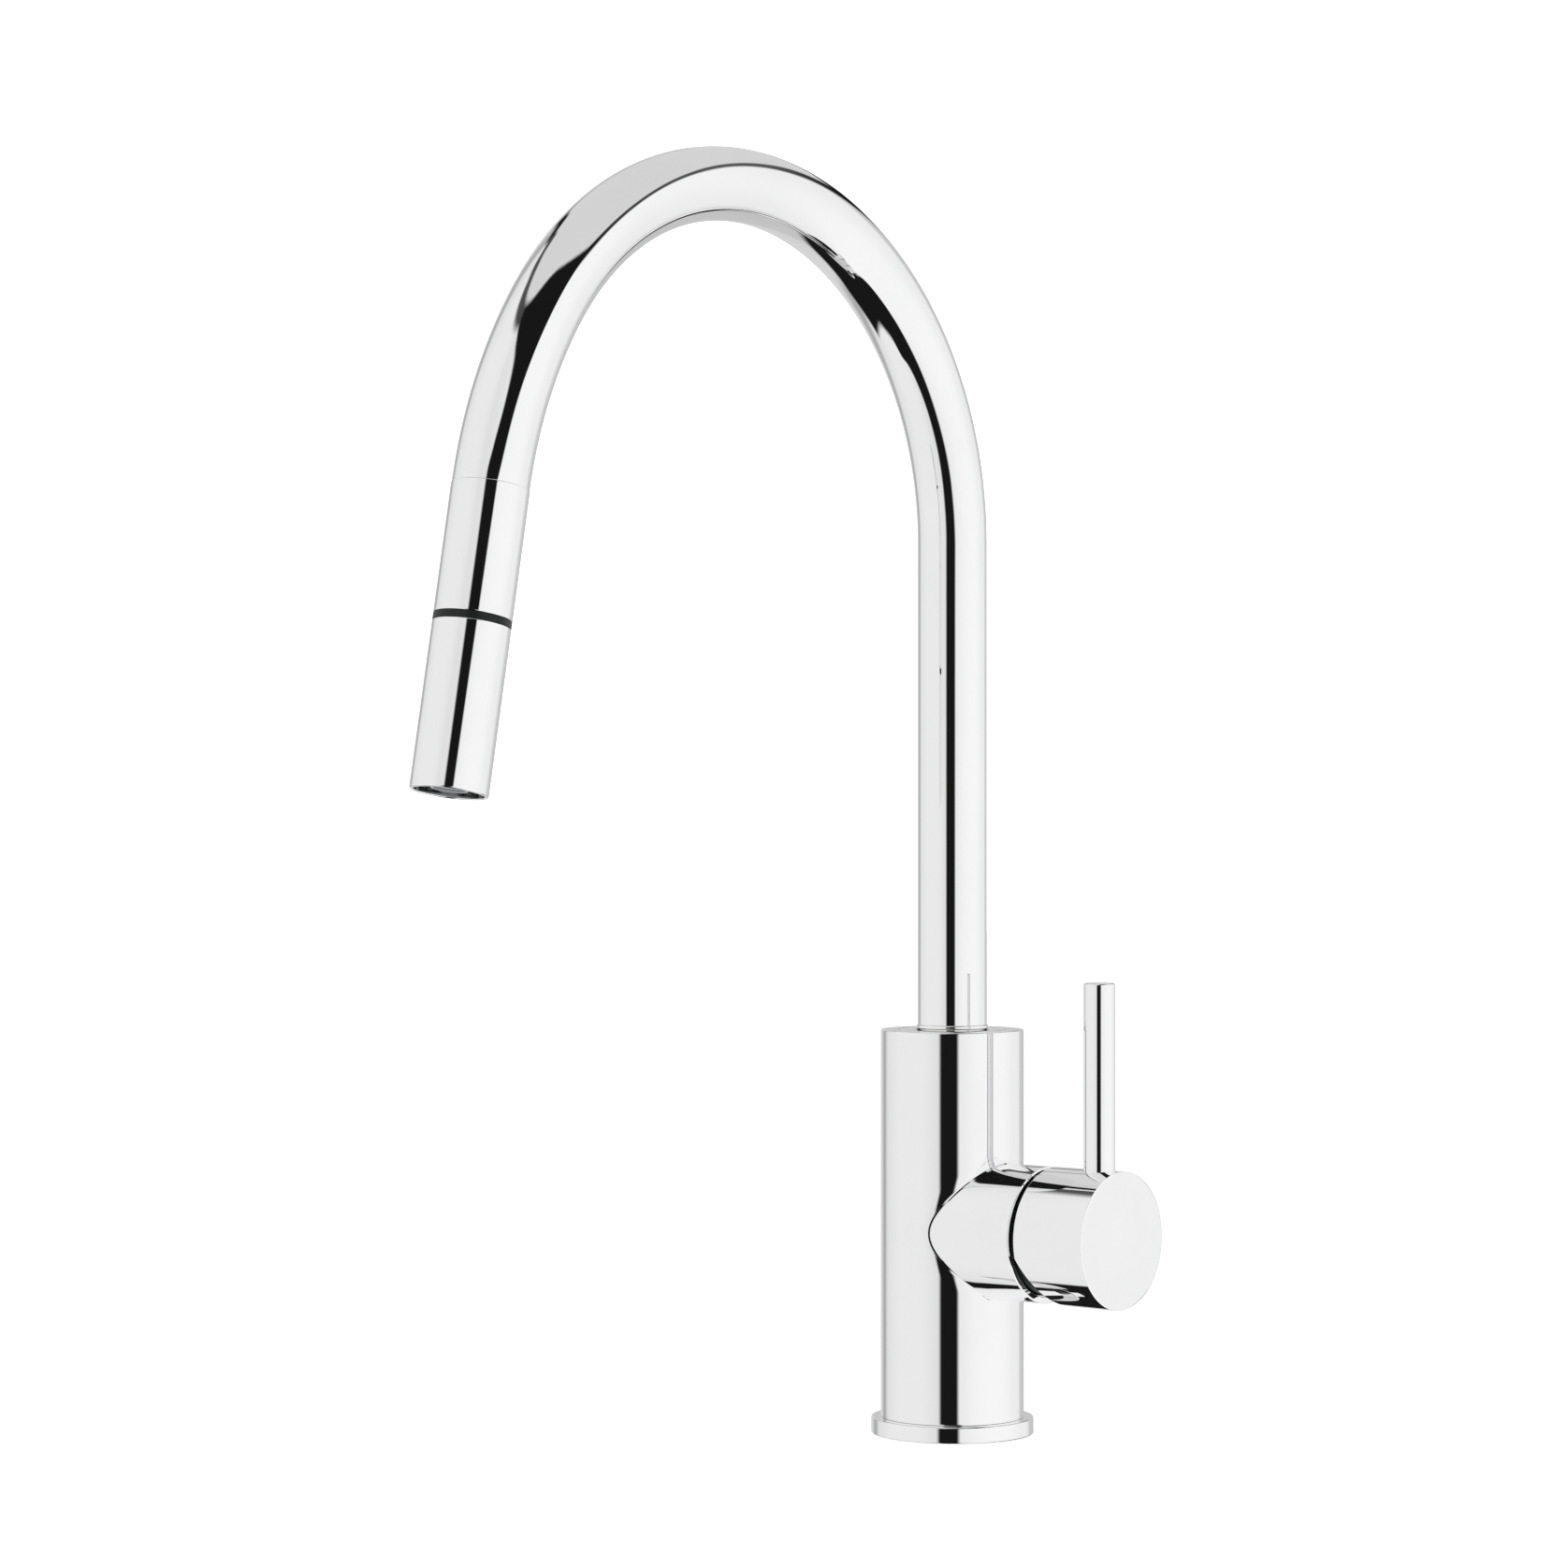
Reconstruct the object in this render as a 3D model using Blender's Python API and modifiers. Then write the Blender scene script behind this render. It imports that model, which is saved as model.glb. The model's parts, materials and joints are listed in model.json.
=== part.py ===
"""A pull-down kitchen faucet: a round body with a side valve and pin lever, a swivelling
gooseneck spout, and a two-barrel spray head on a hose that runs inside the spout.

Frame: origin at the centre of the base's underside, +Z up, the valve's barrel along +X and
the spout along -Y. Metres.
"""

import math

import bmesh
import bpy
from mathutils import Matrix, Vector

MM = 0.001
GAP = 0.3 * MM  # left between pieces that touch or screw together
EDGE = 0.5 * MM  # rounding of the chromed edges

# Body and base
BODY_R = 25.0 * MM
BODY_TOP = 140.7 * MM
FLANGE_R = 28.35 * MM
FLANGE_H = 5.6 * MM
CAVITY_R = 20.5 * MM
CAVITY_TOP = 24.0 * MM
HOSE_CHANNEL_R = 6.6 * MM
SOCKET_R = 16.5 * MM
SOCKET_FLOOR = 92.0 * MM
SOCKET_TOP = 134.0 * MM
GLAND_R = 18.6 * MM
SPIGOT_TOP = 14.0 * MM  # of the base ring, inside the body
BASE_BORE_R = 17.5 * MM
GROOVE_R = 25.8 * MM  # the gasket's groove under the base
GROOVE_BORE_R = 20.7 * MM
GROOVE_H = 1.8 * MM
GASKET_H = 1.5 * MM
WASHER_R = 15.9 * MM
WASHER_BORE_R = 11.0 * MM
WASHER_H = 2.1 * MM

# Valve, whose axis is along +X at this height
VALVE_Z = 71.5 * MM
BARREL_R = 23.5 * MM
BOSS_END = 42.4 * MM
CHAMBER_R = 18.2 * MM
CHAMBER_FLOOR = 14.5 * MM
COVER_SEAT = 38.6 * MM
COVER_BORE_R = 21.2 * MM
COVER_BALL_R = 20.8 * MM
COVER_WALL = 1.2 * MM
COVER_END = 49.0 * MM
COVER_HOLE_R = 11.0 * MM
PIVOT_X = 40.0 * MM  # the handle tilts about a crosswise pin here
CAP_START = 44.4 * MM
CAP_END = 73.1 * MM
CAP_BORE_R = 21.3 * MM
CAP_BORE_END = 56.0 * MM
LEVER_X = 63.5 * MM
LEVER_R = 5.38 * MM
LEVER_TOP = 158.5 * MM
LEVER_SEAT = 87.8 * MM
STEM_R = 4.5 * MM
STEM_START = 28.0 * MM
STEM_END = 64.0 * MM
PIN_R = 1.0 * MM
PIN_HALF_LENGTH = 9.8 * MM
RELIEF_DROP = 5.5 * MM  # below the valve's axis, where the cap's slanted relief starts
RELIEF_RISE = 8.5 * MM  # the relief's slope, as a rise over a run
RELIEF_RUN = 18.0 * MM
SCREW_X = 60.0 * MM
SCREW_R = 2.0 * MM
SCREW_LENGTH = 8.0 * MM
HEX_R = 1.1 * MM
HEX_DEPTH = 3.0 * MM

# Cartridge, as distances along the valve's axis
PORT_R = 2.2 * MM
PORT_GASKET = (16.8 * MM, 14.8 * MM, 15.8 * MM)  # radius, start and end
CARTRIDGE_BASE = (17.2 * MM, 16.1 * MM, 20.0 * MM)
FIXED_DISC = (14.6 * MM, 20.3 * MM, 23.3 * MM)
MOVING_DISC = (11.2 * MM, 23.6 * MM, 26.6 * MM)
HOUSING_R = 17.4 * MM
HOUSING_BORE_R = 15.2 * MM
HOUSING_END = 38.0 * MM
HOUSING_WALL = 2.0 * MM
NUT_R = 17.9 * MM
NUT_BORE_R = 12.0 * MM
NUT_START = 38.3 * MM
NUT_END = 41.8 * MM
CARRIER_R = 14.8 * MM
CARRIER_NECK_R = 10.4 * MM
CARRIER_START = 27.0 * MM
CARRIER_STEP = 35.5 * MM
CARRIER_END = 45.0 * MM
STEM_SLOT_HEIGHT = 18.4 * MM

# Water ways drilled in the body: name, X, Y, channel radius and height of the cross hole
CROSS_HOLE_LENGTH = 9.0 * MM
WATERWAYS = (
    ("hot", 9.0 * MM, 9.8 * MM, 2.75 * MM, VALVE_Z + 3.5 * MM),
    ("cold", 9.0 * MM, -9.8 * MM, 2.75 * MM, VALVE_Z + 3.5 * MM),
    ("mixed", 11.0 * MM, 0.0, 2.2 * MM, VALVE_Z - 9.5 * MM),
)
NIPPLE_R = 3.1 * MM
NIPPLE_BORE_R = 1.7 * MM
NIPPLE_NUT_R = 4.4 * MM
NIPPLE_TOP = 33.5 * MM
NIPPLE_END = 6.0 * MM
NIPPLE_NUT = (21.0 * MM, 16.5 * MM)  # top and bottom
STUD_X = -13.5 * MM  # a stud clamps the faucet down
STUD_R = 4.0 * MM
STUD_DEPTH = 12.0 * MM

# Spout: a straight riser, a wide bend and a slacker one that ends in the spray head's line
TUBE_R = 12.1 * MM
TUBE_BORE_R = 10.4 * MM
TUBE_START = 98.0 * MM
FOOT_R = 15.9 * MM
FOOT_BOTTOM = 96.0 * MM
SEAT_STEP = 0.5 * MM  # the tube is turned down by this where it sits in its foot
RING_HEIGHTS = {"upper": 127.0 * MM, "lower": 105.0 * MM}  # the foot's two O-rings
RING_GROOVE_R = 13.6 * MM
RING_GROOVE_WIDTH = 2.9 * MM
RING_CENTRE_R = 15.05 * MM
RING_THICKNESS_R = 1.15 * MM
BEND_START = 310.1 * MM
BEND_R = 112.2 * MM
BEND_TURN = math.radians(145.05)
TIP_BEND_R = 151.2 * MM
SPOUT_TURN = math.radians(169.2)
COLLAR_R = 12.6 * MM
COLLAR_TOP = BODY_TOP + 1.6 * MM

# Spray head, measured down from the seam where it docks in the spout
HEAD_R = 12.25 * MM
HEAD_BORE_R = 10.9 * MM
GRIP_END = 40.9 * MM
RING_END = 43.2 * MM
HEAD_LENGTH = 95.6 * MM
NECK_R = 7.5 * MM
NECK_HEIGHT = 12.0 * MM
NECK_BORE_R = 3.5 * MM
NECK_FLANGE_R = 10.3 * MM
NECK_FLANGE = (2.6 * MM, 5.0 * MM)  # below the seam
DOCK_R = 9.3 * MM
DOCK_LIP_R = 9.9 * MM
DOCK_LIP = (0.2 * MM, 2.2 * MM)  # above the seam
DOCK_TOP = 14.0 * MM
DOCK_BORE_R = 7.9 * MM
GRIP_END_WALL = 2.3 * MM
CORE_R = 10.5 * MM
CORE_BORE_R = 6.3 * MM
CORE_WELL_R = 7.0 * MM
RING_BORE_R = 9.6 * MM
WATER_R = 2.2 * MM
SELECTOR_SCREW = (  # its outline
    (0, -35.8 * MM), (3.6 * MM, -35.8 * MM), (3.6 * MM, -38.7 * MM), (1.8 * MM, -38.7 * MM),
    (1.8 * MM, -57.0 * MM), (0, -57.0 * MM))
NOZZLE_CORE_END = 88.0 * MM
NOZZLE_CORE_FLOOR = 60.0 * MM
FACE_R = 10.6 * MM
FACE_BORE_R = 6.2 * MM
FACE_START = 88.4 * MM
FACE_END = 93.0 * MM
JET_R = 0.75 * MM
JET_ROOT = 1.0 * MM  # how deep a jet is let into the face
JET_END = 94.3 * MM
AERATOR_R = 5.9 * MM
AERATOR_BORE_R = 5.0 * MM
AERATOR_START = 70.0 * MM
AERATOR_FLOOR = 91.0 * MM
AERATOR_END = 94.5 * MM
HOSE_R = 5.2 * MM
HOSE_START = 16.3 * MM
COUPLING = (  # the outline of the fitting on the hose's lower end
    (6.0 * MM, 16.0 * MM), (6.0 * MM, 11.0 * MM), (6.6 * MM, 11.0 * MM), (6.6 * MM, 5.0 * MM),
    (5.2 * MM, 5.0 * MM), (5.2 * MM, 1.0 * MM), (3.0 * MM, 1.0 * MM), (3.0 * MM, 16.0 * MM))
HOSE_OVERLAP = 4.0 * MM  # between the hose's end and its tail in the head
GUIDE = (99.0 * MM, 106.0 * MM)  # bottom and top of the ring that centres the hose
GUIDE_BORE_R = 6.0 * MM
HOSE_TAIL_TOP = 33.0 * MM  # above the seam: the hose is still straight to here
SPRAY_HOLES = 12
SPRAY_RING_R = 8.3 * MM

ROUND = 32  # sides of the large round pieces
INNER_ROUND = 24
SMALL_ROUND = 16
TUBE_SIDES = 24
TUBE_BORE_SIDES = 16
HOSE_SIDES = 10
HEX_SIDES = 6
JET_SIDES = 8
BEND_STEP = math.radians(7)

# Rotations that turn a piece's own +Z to the world's +X and -Y, and to +Z from a frame on +X
X_AXIS = (0.0, math.radians(90), 0.0)
Y_AXIS = (math.radians(90), 0.0, 0.0)
UP_FROM_X = (0.0, math.radians(-90), 0.0)


# ---------------------------------------------------------------- scene and materials

def clear_scene():
    for obj in list(bpy.data.objects):
        bpy.data.objects.remove(obj, do_unlink=True)


def new_collection(name):
    collection = bpy.data.collections.new(name)
    bpy.context.scene.collection.children.link(collection)
    return collection


def new_material(name, colour, metallic, roughness):
    material = bpy.data.materials.new(name)
    material.use_nodes = True
    shader = material.node_tree.nodes["Principled BSDF"]
    shader.inputs["Base Color"].default_value = (*colour, 1.0)
    shader.inputs["Metallic"].default_value = metallic
    shader.inputs["Roughness"].default_value = roughness
    return material


clear_scene()
PARTS = new_collection("pull_down_faucet")
CUTTERS = new_collection("cutters")
CUTTERS.hide_render = True

CHROME = new_material("chrome", (0.86, 0.86, 0.87), 1.0, 0.05)
BRASS = new_material("brass", (0.72, 0.56, 0.28), 1.0, 0.3)
STEEL = new_material("steel", (0.6, 0.6, 0.62), 1.0, 0.3)
RUBBER = new_material("rubber", (0.02, 0.02, 0.02), 0.0, 0.6)
BLACK_PLASTIC = new_material("black_plastic", (0.015, 0.017, 0.018), 0.0, 0.35)
GREY_PLASTIC = new_material("grey_plastic", (0.35, 0.36, 0.37), 0.0, 0.45)
WHITE_PLASTIC = new_material("white_plastic", (0.8, 0.8, 0.78), 0.0, 0.4)
CERAMIC = new_material("ceramic", (0.9, 0.88, 0.84), 0.0, 0.2)
BRAID = new_material("braid", (0.35, 0.36, 0.38), 0.6, 0.4)

# Plain sleeves in the spray head: name, radius, bore, top and bottom below the seam, material
HEAD_SLEEVES = (
    ("inlet_washer", 10.0 * MM, 5.0 * MM, 5.3 * MM, 6.4 * MM, RUBBER),
    ("waterway_core", CORE_R, CORE_BORE_R, 6.7 * MM, 38.8 * MM, GREY_PLASTIC),
    ("check_valve", CORE_BORE_R - GAP, WATER_R, 7.2 * MM, 17.0 * MM, WHITE_PLASTIC),
    ("diverter_disc", CORE_R, WATER_R, 39.1 * MM, 40.8 * MM, CERAMIC),
    ("selector_seal", RING_BORE_R - GAP, WATER_R, 41.2 * MM, 43.0 * MM, RUBBER),
)


# ---------------------------------------------------------------- shapes

def place(obj, collection, location=(0, 0, 0), rotation=(0, 0, 0), parent=None):
    collection.objects.link(obj)
    obj.location = location
    obj.rotation_euler = rotation
    obj.parent = parent
    return obj


def new_frame(name, location, rotation=(0, 0, 0), parent=None):
    return place(bpy.data.objects.new(name, None), PARTS, location, rotation, parent)


def turned_mesh(name, profile, steps):
    """A closed outline of (radius, height) points, turned about Z. It runs down its outer
    side; an outline that starts and ends on the axis makes a solid piece."""
    mesh = bpy.data.meshes.new(name)
    count = len(profile)
    on_axis = profile[0][0] == 0 and profile[-1][0] == 0
    edges = [(i, i + 1) for i in range(count - 1)]
    if not on_axis:
        edges.append((count - 1, 0))
    mesh.from_pydata([(radius, 0, height) for radius, height in profile], edges, [])
    obj = bpy.data.objects.new(name, mesh)
    screw = obj.modifiers.new("Turn", "SCREW")
    screw.axis = "Z"
    screw.steps = steps
    screw.render_steps = steps
    screw.use_merge_vertices = True
    screw.merge_threshold = 0.00001
    return obj


def turned(name, profile, material, location=(0, 0, 0), rotation=(0, 0, 0), parent=None,
           steps=ROUND):
    obj = turned_mesh(name, profile, steps)
    obj.data.materials.append(material)
    return place(obj, PARTS, location, rotation, parent)


def disc(radius, top, bottom, edge=0.0):
    """The outline of a solid round piece, with both corners cut by edge."""
    if not edge:
        return [(0, top), (radius, top), (radius, bottom), (0, bottom)]
    return [(0, top), (radius - edge, top), (radius, top - edge), (radius, bottom + edge),
            (radius - edge, bottom), (0, bottom)]


def sleeve(radius, bore, top, bottom, edge=0.0):
    """The outline of a round piece with a straight bore."""
    if not edge:
        return [(radius, top), (radius, bottom), (bore, bottom), (bore, top)]
    return [(radius - edge, top), (radius, top - edge), (radius, bottom + edge),
            (radius - edge, bottom), (bore, bottom), (bore, top)]


def torus_profile(centre, height, thickness, sides=8):
    """The outline of an O-ring's section, listed clockwise from its outer side."""
    angles = [-2 * math.pi * i / sides for i in range(sides)]
    return [(centre + thickness * math.cos(a), height + thickness * math.sin(a))
            for a in angles]


def cutter(name, profile, location=(0, 0, 0), rotation=(0, 0, 0), steps=ROUND):
    obj = place(turned_mesh(name, profile, steps), CUTTERS, location, rotation)
    return as_cutter(obj)


def as_cutter(obj):
    obj.hide_render = True
    obj.display_type = "WIRE"
    return obj


def box_cutter(name, size, location, rotation=(0, 0, 0)):
    mesh = bpy.data.meshes.new(name)
    blank = bmesh.new()
    bmesh.ops.create_cube(blank, size=1.0, matrix=Matrix.Diagonal((*size, 1.0)))
    blank.to_mesh(mesh)
    blank.free()
    obj = place(bpy.data.objects.new(name, mesh), CUTTERS, location, rotation)
    return as_cutter(obj)


def join(obj, *others, solver="EXACT"):
    for other in others:
        add_boolean(obj, other, "UNION", solver)


def cut(obj, *others, solver="EXACT"):
    for other in others:
        add_boolean(obj, other, "DIFFERENCE", solver)


def add_boolean(obj, other, operation, solver):
    modifier = obj.modifiers.new(operation.title() + "." + other.name, "BOOLEAN")
    modifier.operation = operation
    modifier.solver = solver
    modifier.object = other


def pipe_mesh(name, points, radius, sides):
    """A rod along the points, as a closed mesh object that Booleans can use."""
    curve = bpy.data.curves.new(name, "CURVE")
    curve.dimensions = "3D"
    curve.bevel_depth = radius
    curve.bevel_resolution = sides // 2 - 2
    curve.use_fill_caps = True
    spline = curve.splines.new("POLY")
    spline.points.add(len(points) - 1)
    for point, position in zip(spline.points, points):
        point.co = (*position, 1.0)
    source = bpy.data.objects.new(name + "_curve", curve)
    bpy.context.scene.collection.objects.link(source)
    graph = bpy.context.evaluated_depsgraph_get()
    mesh = bpy.data.meshes.new_from_object(source.evaluated_get(graph))
    bpy.data.objects.remove(source, do_unlink=True)
    welded = bmesh.new()
    welded.from_mesh(mesh)
    bmesh.ops.remove_doubles(welded, verts=welded.verts, dist=0.00001)
    bmesh.ops.recalc_face_normals(welded, faces=welded.faces)
    welded.to_mesh(mesh)
    welded.free()
    mesh.name = name
    return bpy.data.objects.new(name, mesh)


# ---------------------------------------------------------------- the spout's path

def on_spout(turn):
    """(reach, height) of the spout's centre line where it has turned by this angle."""
    if turn <= BEND_TURN:
        return (BEND_R * (1 - math.cos(turn)), BEND_START + BEND_R * math.sin(turn))
    reach, height = on_spout(BEND_TURN)
    return (reach + TIP_BEND_R * (math.cos(BEND_TURN) - math.cos(turn)),
            height + TIP_BEND_R * (math.sin(turn) - math.sin(BEND_TURN)))


def down_spout(distance):
    """The point this far below the seam, on the spray head's own straight line."""
    reach, height = on_spout(SPOUT_TURN)
    return Vector((0, -(reach + distance * math.sin(SPOUT_TURN)),
                   height + distance * math.cos(SPOUT_TURN)))


def bend_points(start_turn, end_turn):
    steps = max(2, round((end_turn - start_turn) / BEND_STEP))
    turns = [start_turn + (end_turn - start_turn) * i / steps for i in range(steps + 1)]
    return [Vector((0, -reach, height)) for reach, height in map(on_spout, turns)]


SEAM = down_spout(0)
HEAD_TILT = (SPOUT_TURN - math.pi, 0, 0)  # turns a piece's own -Z to the head's line


# ---------------------------------------------------------------- body and base

def make_body_shell():
    shell = turned("body_shell", disc(BODY_R, BODY_TOP, FLANGE_H + GAP, EDGE), CHROME)
    boss = cutter("boss_blank", disc(BARREL_R, BOSS_END, 0, EDGE), (0, 0, VALVE_Z), X_AXIS)
    over = 5 * MM  # how far a cutter runs past the face that it opens
    bores = cutter("body_bores", [
        (0, BODY_TOP + over), (GLAND_R, BODY_TOP + over), (GLAND_R, SOCKET_TOP),
        (SOCKET_R, SOCKET_TOP), (SOCKET_R, SOCKET_FLOOR), (HOSE_CHANNEL_R, SOCKET_FLOOR),
        (HOSE_CHANNEL_R, CAVITY_TOP), (CAVITY_R, CAVITY_TOP), (CAVITY_R, 0), (0, 0)])
    chamber = cutter("valve_chamber", [
        (0, BOSS_END + over), (COVER_BORE_R, BOSS_END + over), (COVER_BORE_R, COVER_SEAT),
        (CHAMBER_R, COVER_SEAT), (CHAMBER_R, CHAMBER_FLOOR), (0, CHAMBER_FLOOR)],
        (0, 0, VALVE_Z), X_AXIS)
    holes = [bores, chamber]
    seat_top = NIPPLE_TOP + 0.5 * MM
    seat_r = NIPPLE_R + GAP
    for name, x, y, radius, height in WATERWAYS:
        holes.append(cutter(name + "_channel", [
            (0, height + radius), (radius, height + radius), (radius, seat_top),
            (seat_r, seat_top), (seat_r, CAVITY_TOP - over), (0, CAVITY_TOP - over)],
            (x, y, 0), steps=SMALL_ROUND))
        holes.append(cutter(name + "_cross_hole", disc(0.8 * radius, CROSS_HOLE_LENGTH, 0),
                            (x, y, height), X_AXIS, SMALL_ROUND))
    stud_hole = disc(STUD_R, CAVITY_TOP + STUD_DEPTH, CAVITY_TOP - over)
    holes.append(cutter("stud_hole", stud_hole, (STUD_X, 0, 0), steps=SMALL_ROUND))
    join(shell, boss, solver="MANIFOLD")
    cut(shell, *holes, solver="MANIFOLD")


def make_base():
    spigot_r = CAVITY_R - GAP
    turned("base_ring", [
        (spigot_r, SPIGOT_TOP), (spigot_r, FLANGE_H), (FLANGE_R - EDGE, FLANGE_H),
        (FLANGE_R, FLANGE_H - EDGE), (FLANGE_R, 0), (GROOVE_R, 0), (GROOVE_R, GROOVE_H),
        (GROOVE_BORE_R, GROOVE_H), (GROOVE_BORE_R, 0), (BASE_BORE_R, 0),
        (BASE_BORE_R, SPIGOT_TOP)], CHROME)
    turned("base_gasket", sleeve(GROOVE_R - GAP, GROOVE_BORE_R + GAP, GASKET_H, 0), RUBBER)
    turned("gland_nut", sleeve(GLAND_R - GAP, COLLAR_R + GAP, BODY_TOP, SOCKET_TOP + GAP),
           CHROME)
    washer_bottom = SOCKET_FLOOR + GAP
    turned("thrust_washer", sleeve(WASHER_R, WASHER_BORE_R, washer_bottom + WASHER_H,
                                   washer_bottom), WHITE_PLASTIC)


def make_nipples():
    nut_top, nut_bottom = NIPPLE_NUT
    for name, x, y, _, _ in WATERWAYS:
        turned(name + "_nipple", [
            (NIPPLE_R, NIPPLE_TOP), (NIPPLE_R, nut_top), (NIPPLE_NUT_R, nut_top),
            (NIPPLE_NUT_R, nut_bottom), (NIPPLE_R, nut_bottom), (NIPPLE_R, NIPPLE_END),
            (NIPPLE_BORE_R, NIPPLE_END), (NIPPLE_BORE_R, NIPPLE_TOP)], BRASS, (x, y, 0),
            steps=SMALL_ROUND)


# ---------------------------------------------------------------- cartridge

def port_cutters(prefix, start, end):
    """Holes through the cartridge's lower pieces, in line with the body's cross holes."""
    return [cutter(f"{prefix}_{name}", disc(PORT_R, end, start), (0, y, height), X_AXIS,
                   SMALL_ROUND) for name, _, y, _, height in WATERWAYS]


def make_cartridge():
    valve = new_frame("valve_axis", (0, 0, VALVE_Z), X_AXIS)
    lower_pieces = (
        ("port_gasket", PORT_GASKET, RUBBER),
        ("cartridge_base", CARTRIDGE_BASE, GREY_PLASTIC),
        ("fixed_disc", FIXED_DISC, CERAMIC),
    )
    over = 1 * MM
    for name, (radius, start, end), material in lower_pieces:
        piece = turned(name, disc(radius, end, start), material, parent=valve, steps=INNER_ROUND)
        cut(piece, *port_cutters(name, start - over, end + over))
    housing_start = CARTRIDGE_BASE[2] + GAP
    mouth_r = CARRIER_NECK_R + 2 * GAP
    housing_roof = HOUSING_END - HOUSING_WALL
    turned("cartridge_housing", [
        (mouth_r, HOUSING_END), (HOUSING_R, HOUSING_END), (HOUSING_R, housing_start),
        (HOUSING_BORE_R, housing_start), (HOUSING_BORE_R, housing_roof),
        (mouth_r, housing_roof)], GREY_PLASTIC, parent=valve, steps=INNER_ROUND)
    turned("cartridge_nut", sleeve(NUT_R, NUT_BORE_R, NUT_END, NUT_START), BRASS,
           parent=valve, steps=INNER_ROUND)
    make_cartridge_cover(valve)


def make_cartridge_cover(valve):
    """A dark cover whose side is part of a ball about the handle's pivot, so that the
    tilting cap keeps its distance."""
    start = COVER_SEAT + GAP
    steps = 3
    heights = [COVER_END - (COVER_END - start) * i / steps for i in range(steps + 1)]
    outer = [(math.sqrt(COVER_BALL_R ** 2 - (h - PIVOT_X) ** 2), h) for h in heights]
    inner = [(radius - COVER_WALL, h) for radius, h in reversed(outer)]
    roof = COVER_END - COVER_WALL
    inner[-1] = (inner[-1][0], roof)
    turned("cartridge_cover", outer + inner + [(COVER_HOLE_R, roof), (COVER_HOLE_R, COVER_END)],
           BLACK_PLASTIC, parent=valve)


def make_rotor():
    """The pieces that turn with the lever to mix hot and cold."""
    radius, start, end = MOVING_DISC
    turned("moving_disc", disc(radius, end, start, EDGE), CERAMIC, (0, 0, VALVE_Z), X_AXIS,
           steps=INNER_ROUND)
    rotor = new_frame("rotor_axis", (0, 0, VALVE_Z), X_AXIS)
    carrier = turned("cartridge_carrier", [
        (0, CARRIER_END), (CARRIER_NECK_R, CARRIER_END), (CARRIER_NECK_R, CARRIER_STEP),
        (CARRIER_R, CARRIER_STEP), (CARRIER_R, CARRIER_START), (0, CARRIER_START)],
        WHITE_PLASTIC, parent=rotor, steps=INNER_ROUND)
    slot = box_cutter("stem_slot", (2 * CARRIER_R, 2 * (STEM_R + GAP), STEM_SLOT_HEIGHT),
                      (PIVOT_X, 0, VALVE_Z))
    cut(carrier, slot, pin_hole("carrier_pin_hole"))
    turned("pivot_pin", disc(PIN_R, PIN_HALF_LENGTH, -PIN_HALF_LENGTH), STEEL,
           (PIVOT_X, 0, VALVE_Z), Y_AXIS, steps=SMALL_ROUND)


def pin_hole(name):
    """The hole for the crosswise pin that the lever's stem tilts on."""
    reach = CARRIER_R + 4 * GAP
    return cutter(name, disc(PIN_R + GAP, reach, -reach), (PIVOT_X, 0, VALVE_Z), Y_AXIS,
                  SMALL_ROUND)


# ---------------------------------------------------------------- handle

def make_handle():
    handle = new_frame("handle_pivot", (PIVOT_X, 0, VALVE_Z), X_AXIS)
    stem = turned("cartridge_stem", disc(STEM_R, STEM_END - PIVOT_X, STEM_START - PIVOT_X, EDGE),
                  BRASS, parent=handle, steps=SMALL_ROUND)
    cut(stem, pin_hole("stem_pin_hole"))
    start = CAP_START - PIVOT_X
    end = CAP_END - PIVOT_X
    bore_end = CAP_BORE_END - PIVOT_X
    socket_r = STEM_R + GAP
    socket_end = STEM_END + GAP - PIVOT_X
    cap = turned("handle_cap", [
        (0, end), (BARREL_R - EDGE, end), (BARREL_R, end - EDGE), (BARREL_R, start + EDGE),
        (BARREL_R - EDGE, start), (CAP_BORE_R, start), (CAP_BORE_R, bore_end),
        (socket_r, bore_end), (socket_r, socket_end), (0, socket_end)], CHROME, parent=handle)
    lever_hole = cutter("lever_hole", disc(LEVER_R + GAP, LEVER_TOP, LEVER_SEAT - GAP),
                        (LEVER_X, 0, 0), steps=SMALL_ROUND)
    screw_hole = cutter("screw_hole", disc(SCREW_R + GAP, VALVE_Z, VALVE_Z - 2 * BARREL_R),
                        (SCREW_X, 0, 0), steps=SMALL_ROUND)
    cut(cap, make_cap_relief(), lever_hole, screw_hole)
    turned("lever_pin", disc(LEVER_R, LEVER_TOP - VALVE_Z, LEVER_SEAT - VALVE_Z, EDGE), CHROME,
           (0, 0, LEVER_X - PIVOT_X), UP_FROM_X, handle, SMALL_ROUND)
    screw_top = VALVE_Z - STEM_R - GAP
    screw_bottom = screw_top - SCREW_LENGTH
    screw = turned("handle_screw", disc(SCREW_R, screw_top, screw_bottom), STEEL,
                   (SCREW_X, 0, 0), steps=SMALL_ROUND)
    socket = disc(HEX_R, screw_bottom + HEX_DEPTH, screw_bottom - HEX_DEPTH)
    cut(screw, cutter("hex_socket", socket, (SCREW_X, 0, 0), steps=HEX_SIDES))


def make_cap_relief():
    """A slanted cut under the cap, which clears the boss when the lever tilts outwards."""
    slant = -math.atan2(RELIEF_RISE, RELIEF_RUN)
    depth = 2 * BARREL_R
    turn = Matrix.Rotation(slant, 3, "Y")
    corner = Vector((CAP_START, 0, VALVE_Z - RELIEF_DROP))
    centre = corner + turn @ Vector((-depth / 2, 0, -depth / 2))
    return box_cutter("cap_relief", (depth, 3 * BARREL_R, 2 * depth), centre, (0, slant, 0))


# ---------------------------------------------------------------- spout

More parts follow.
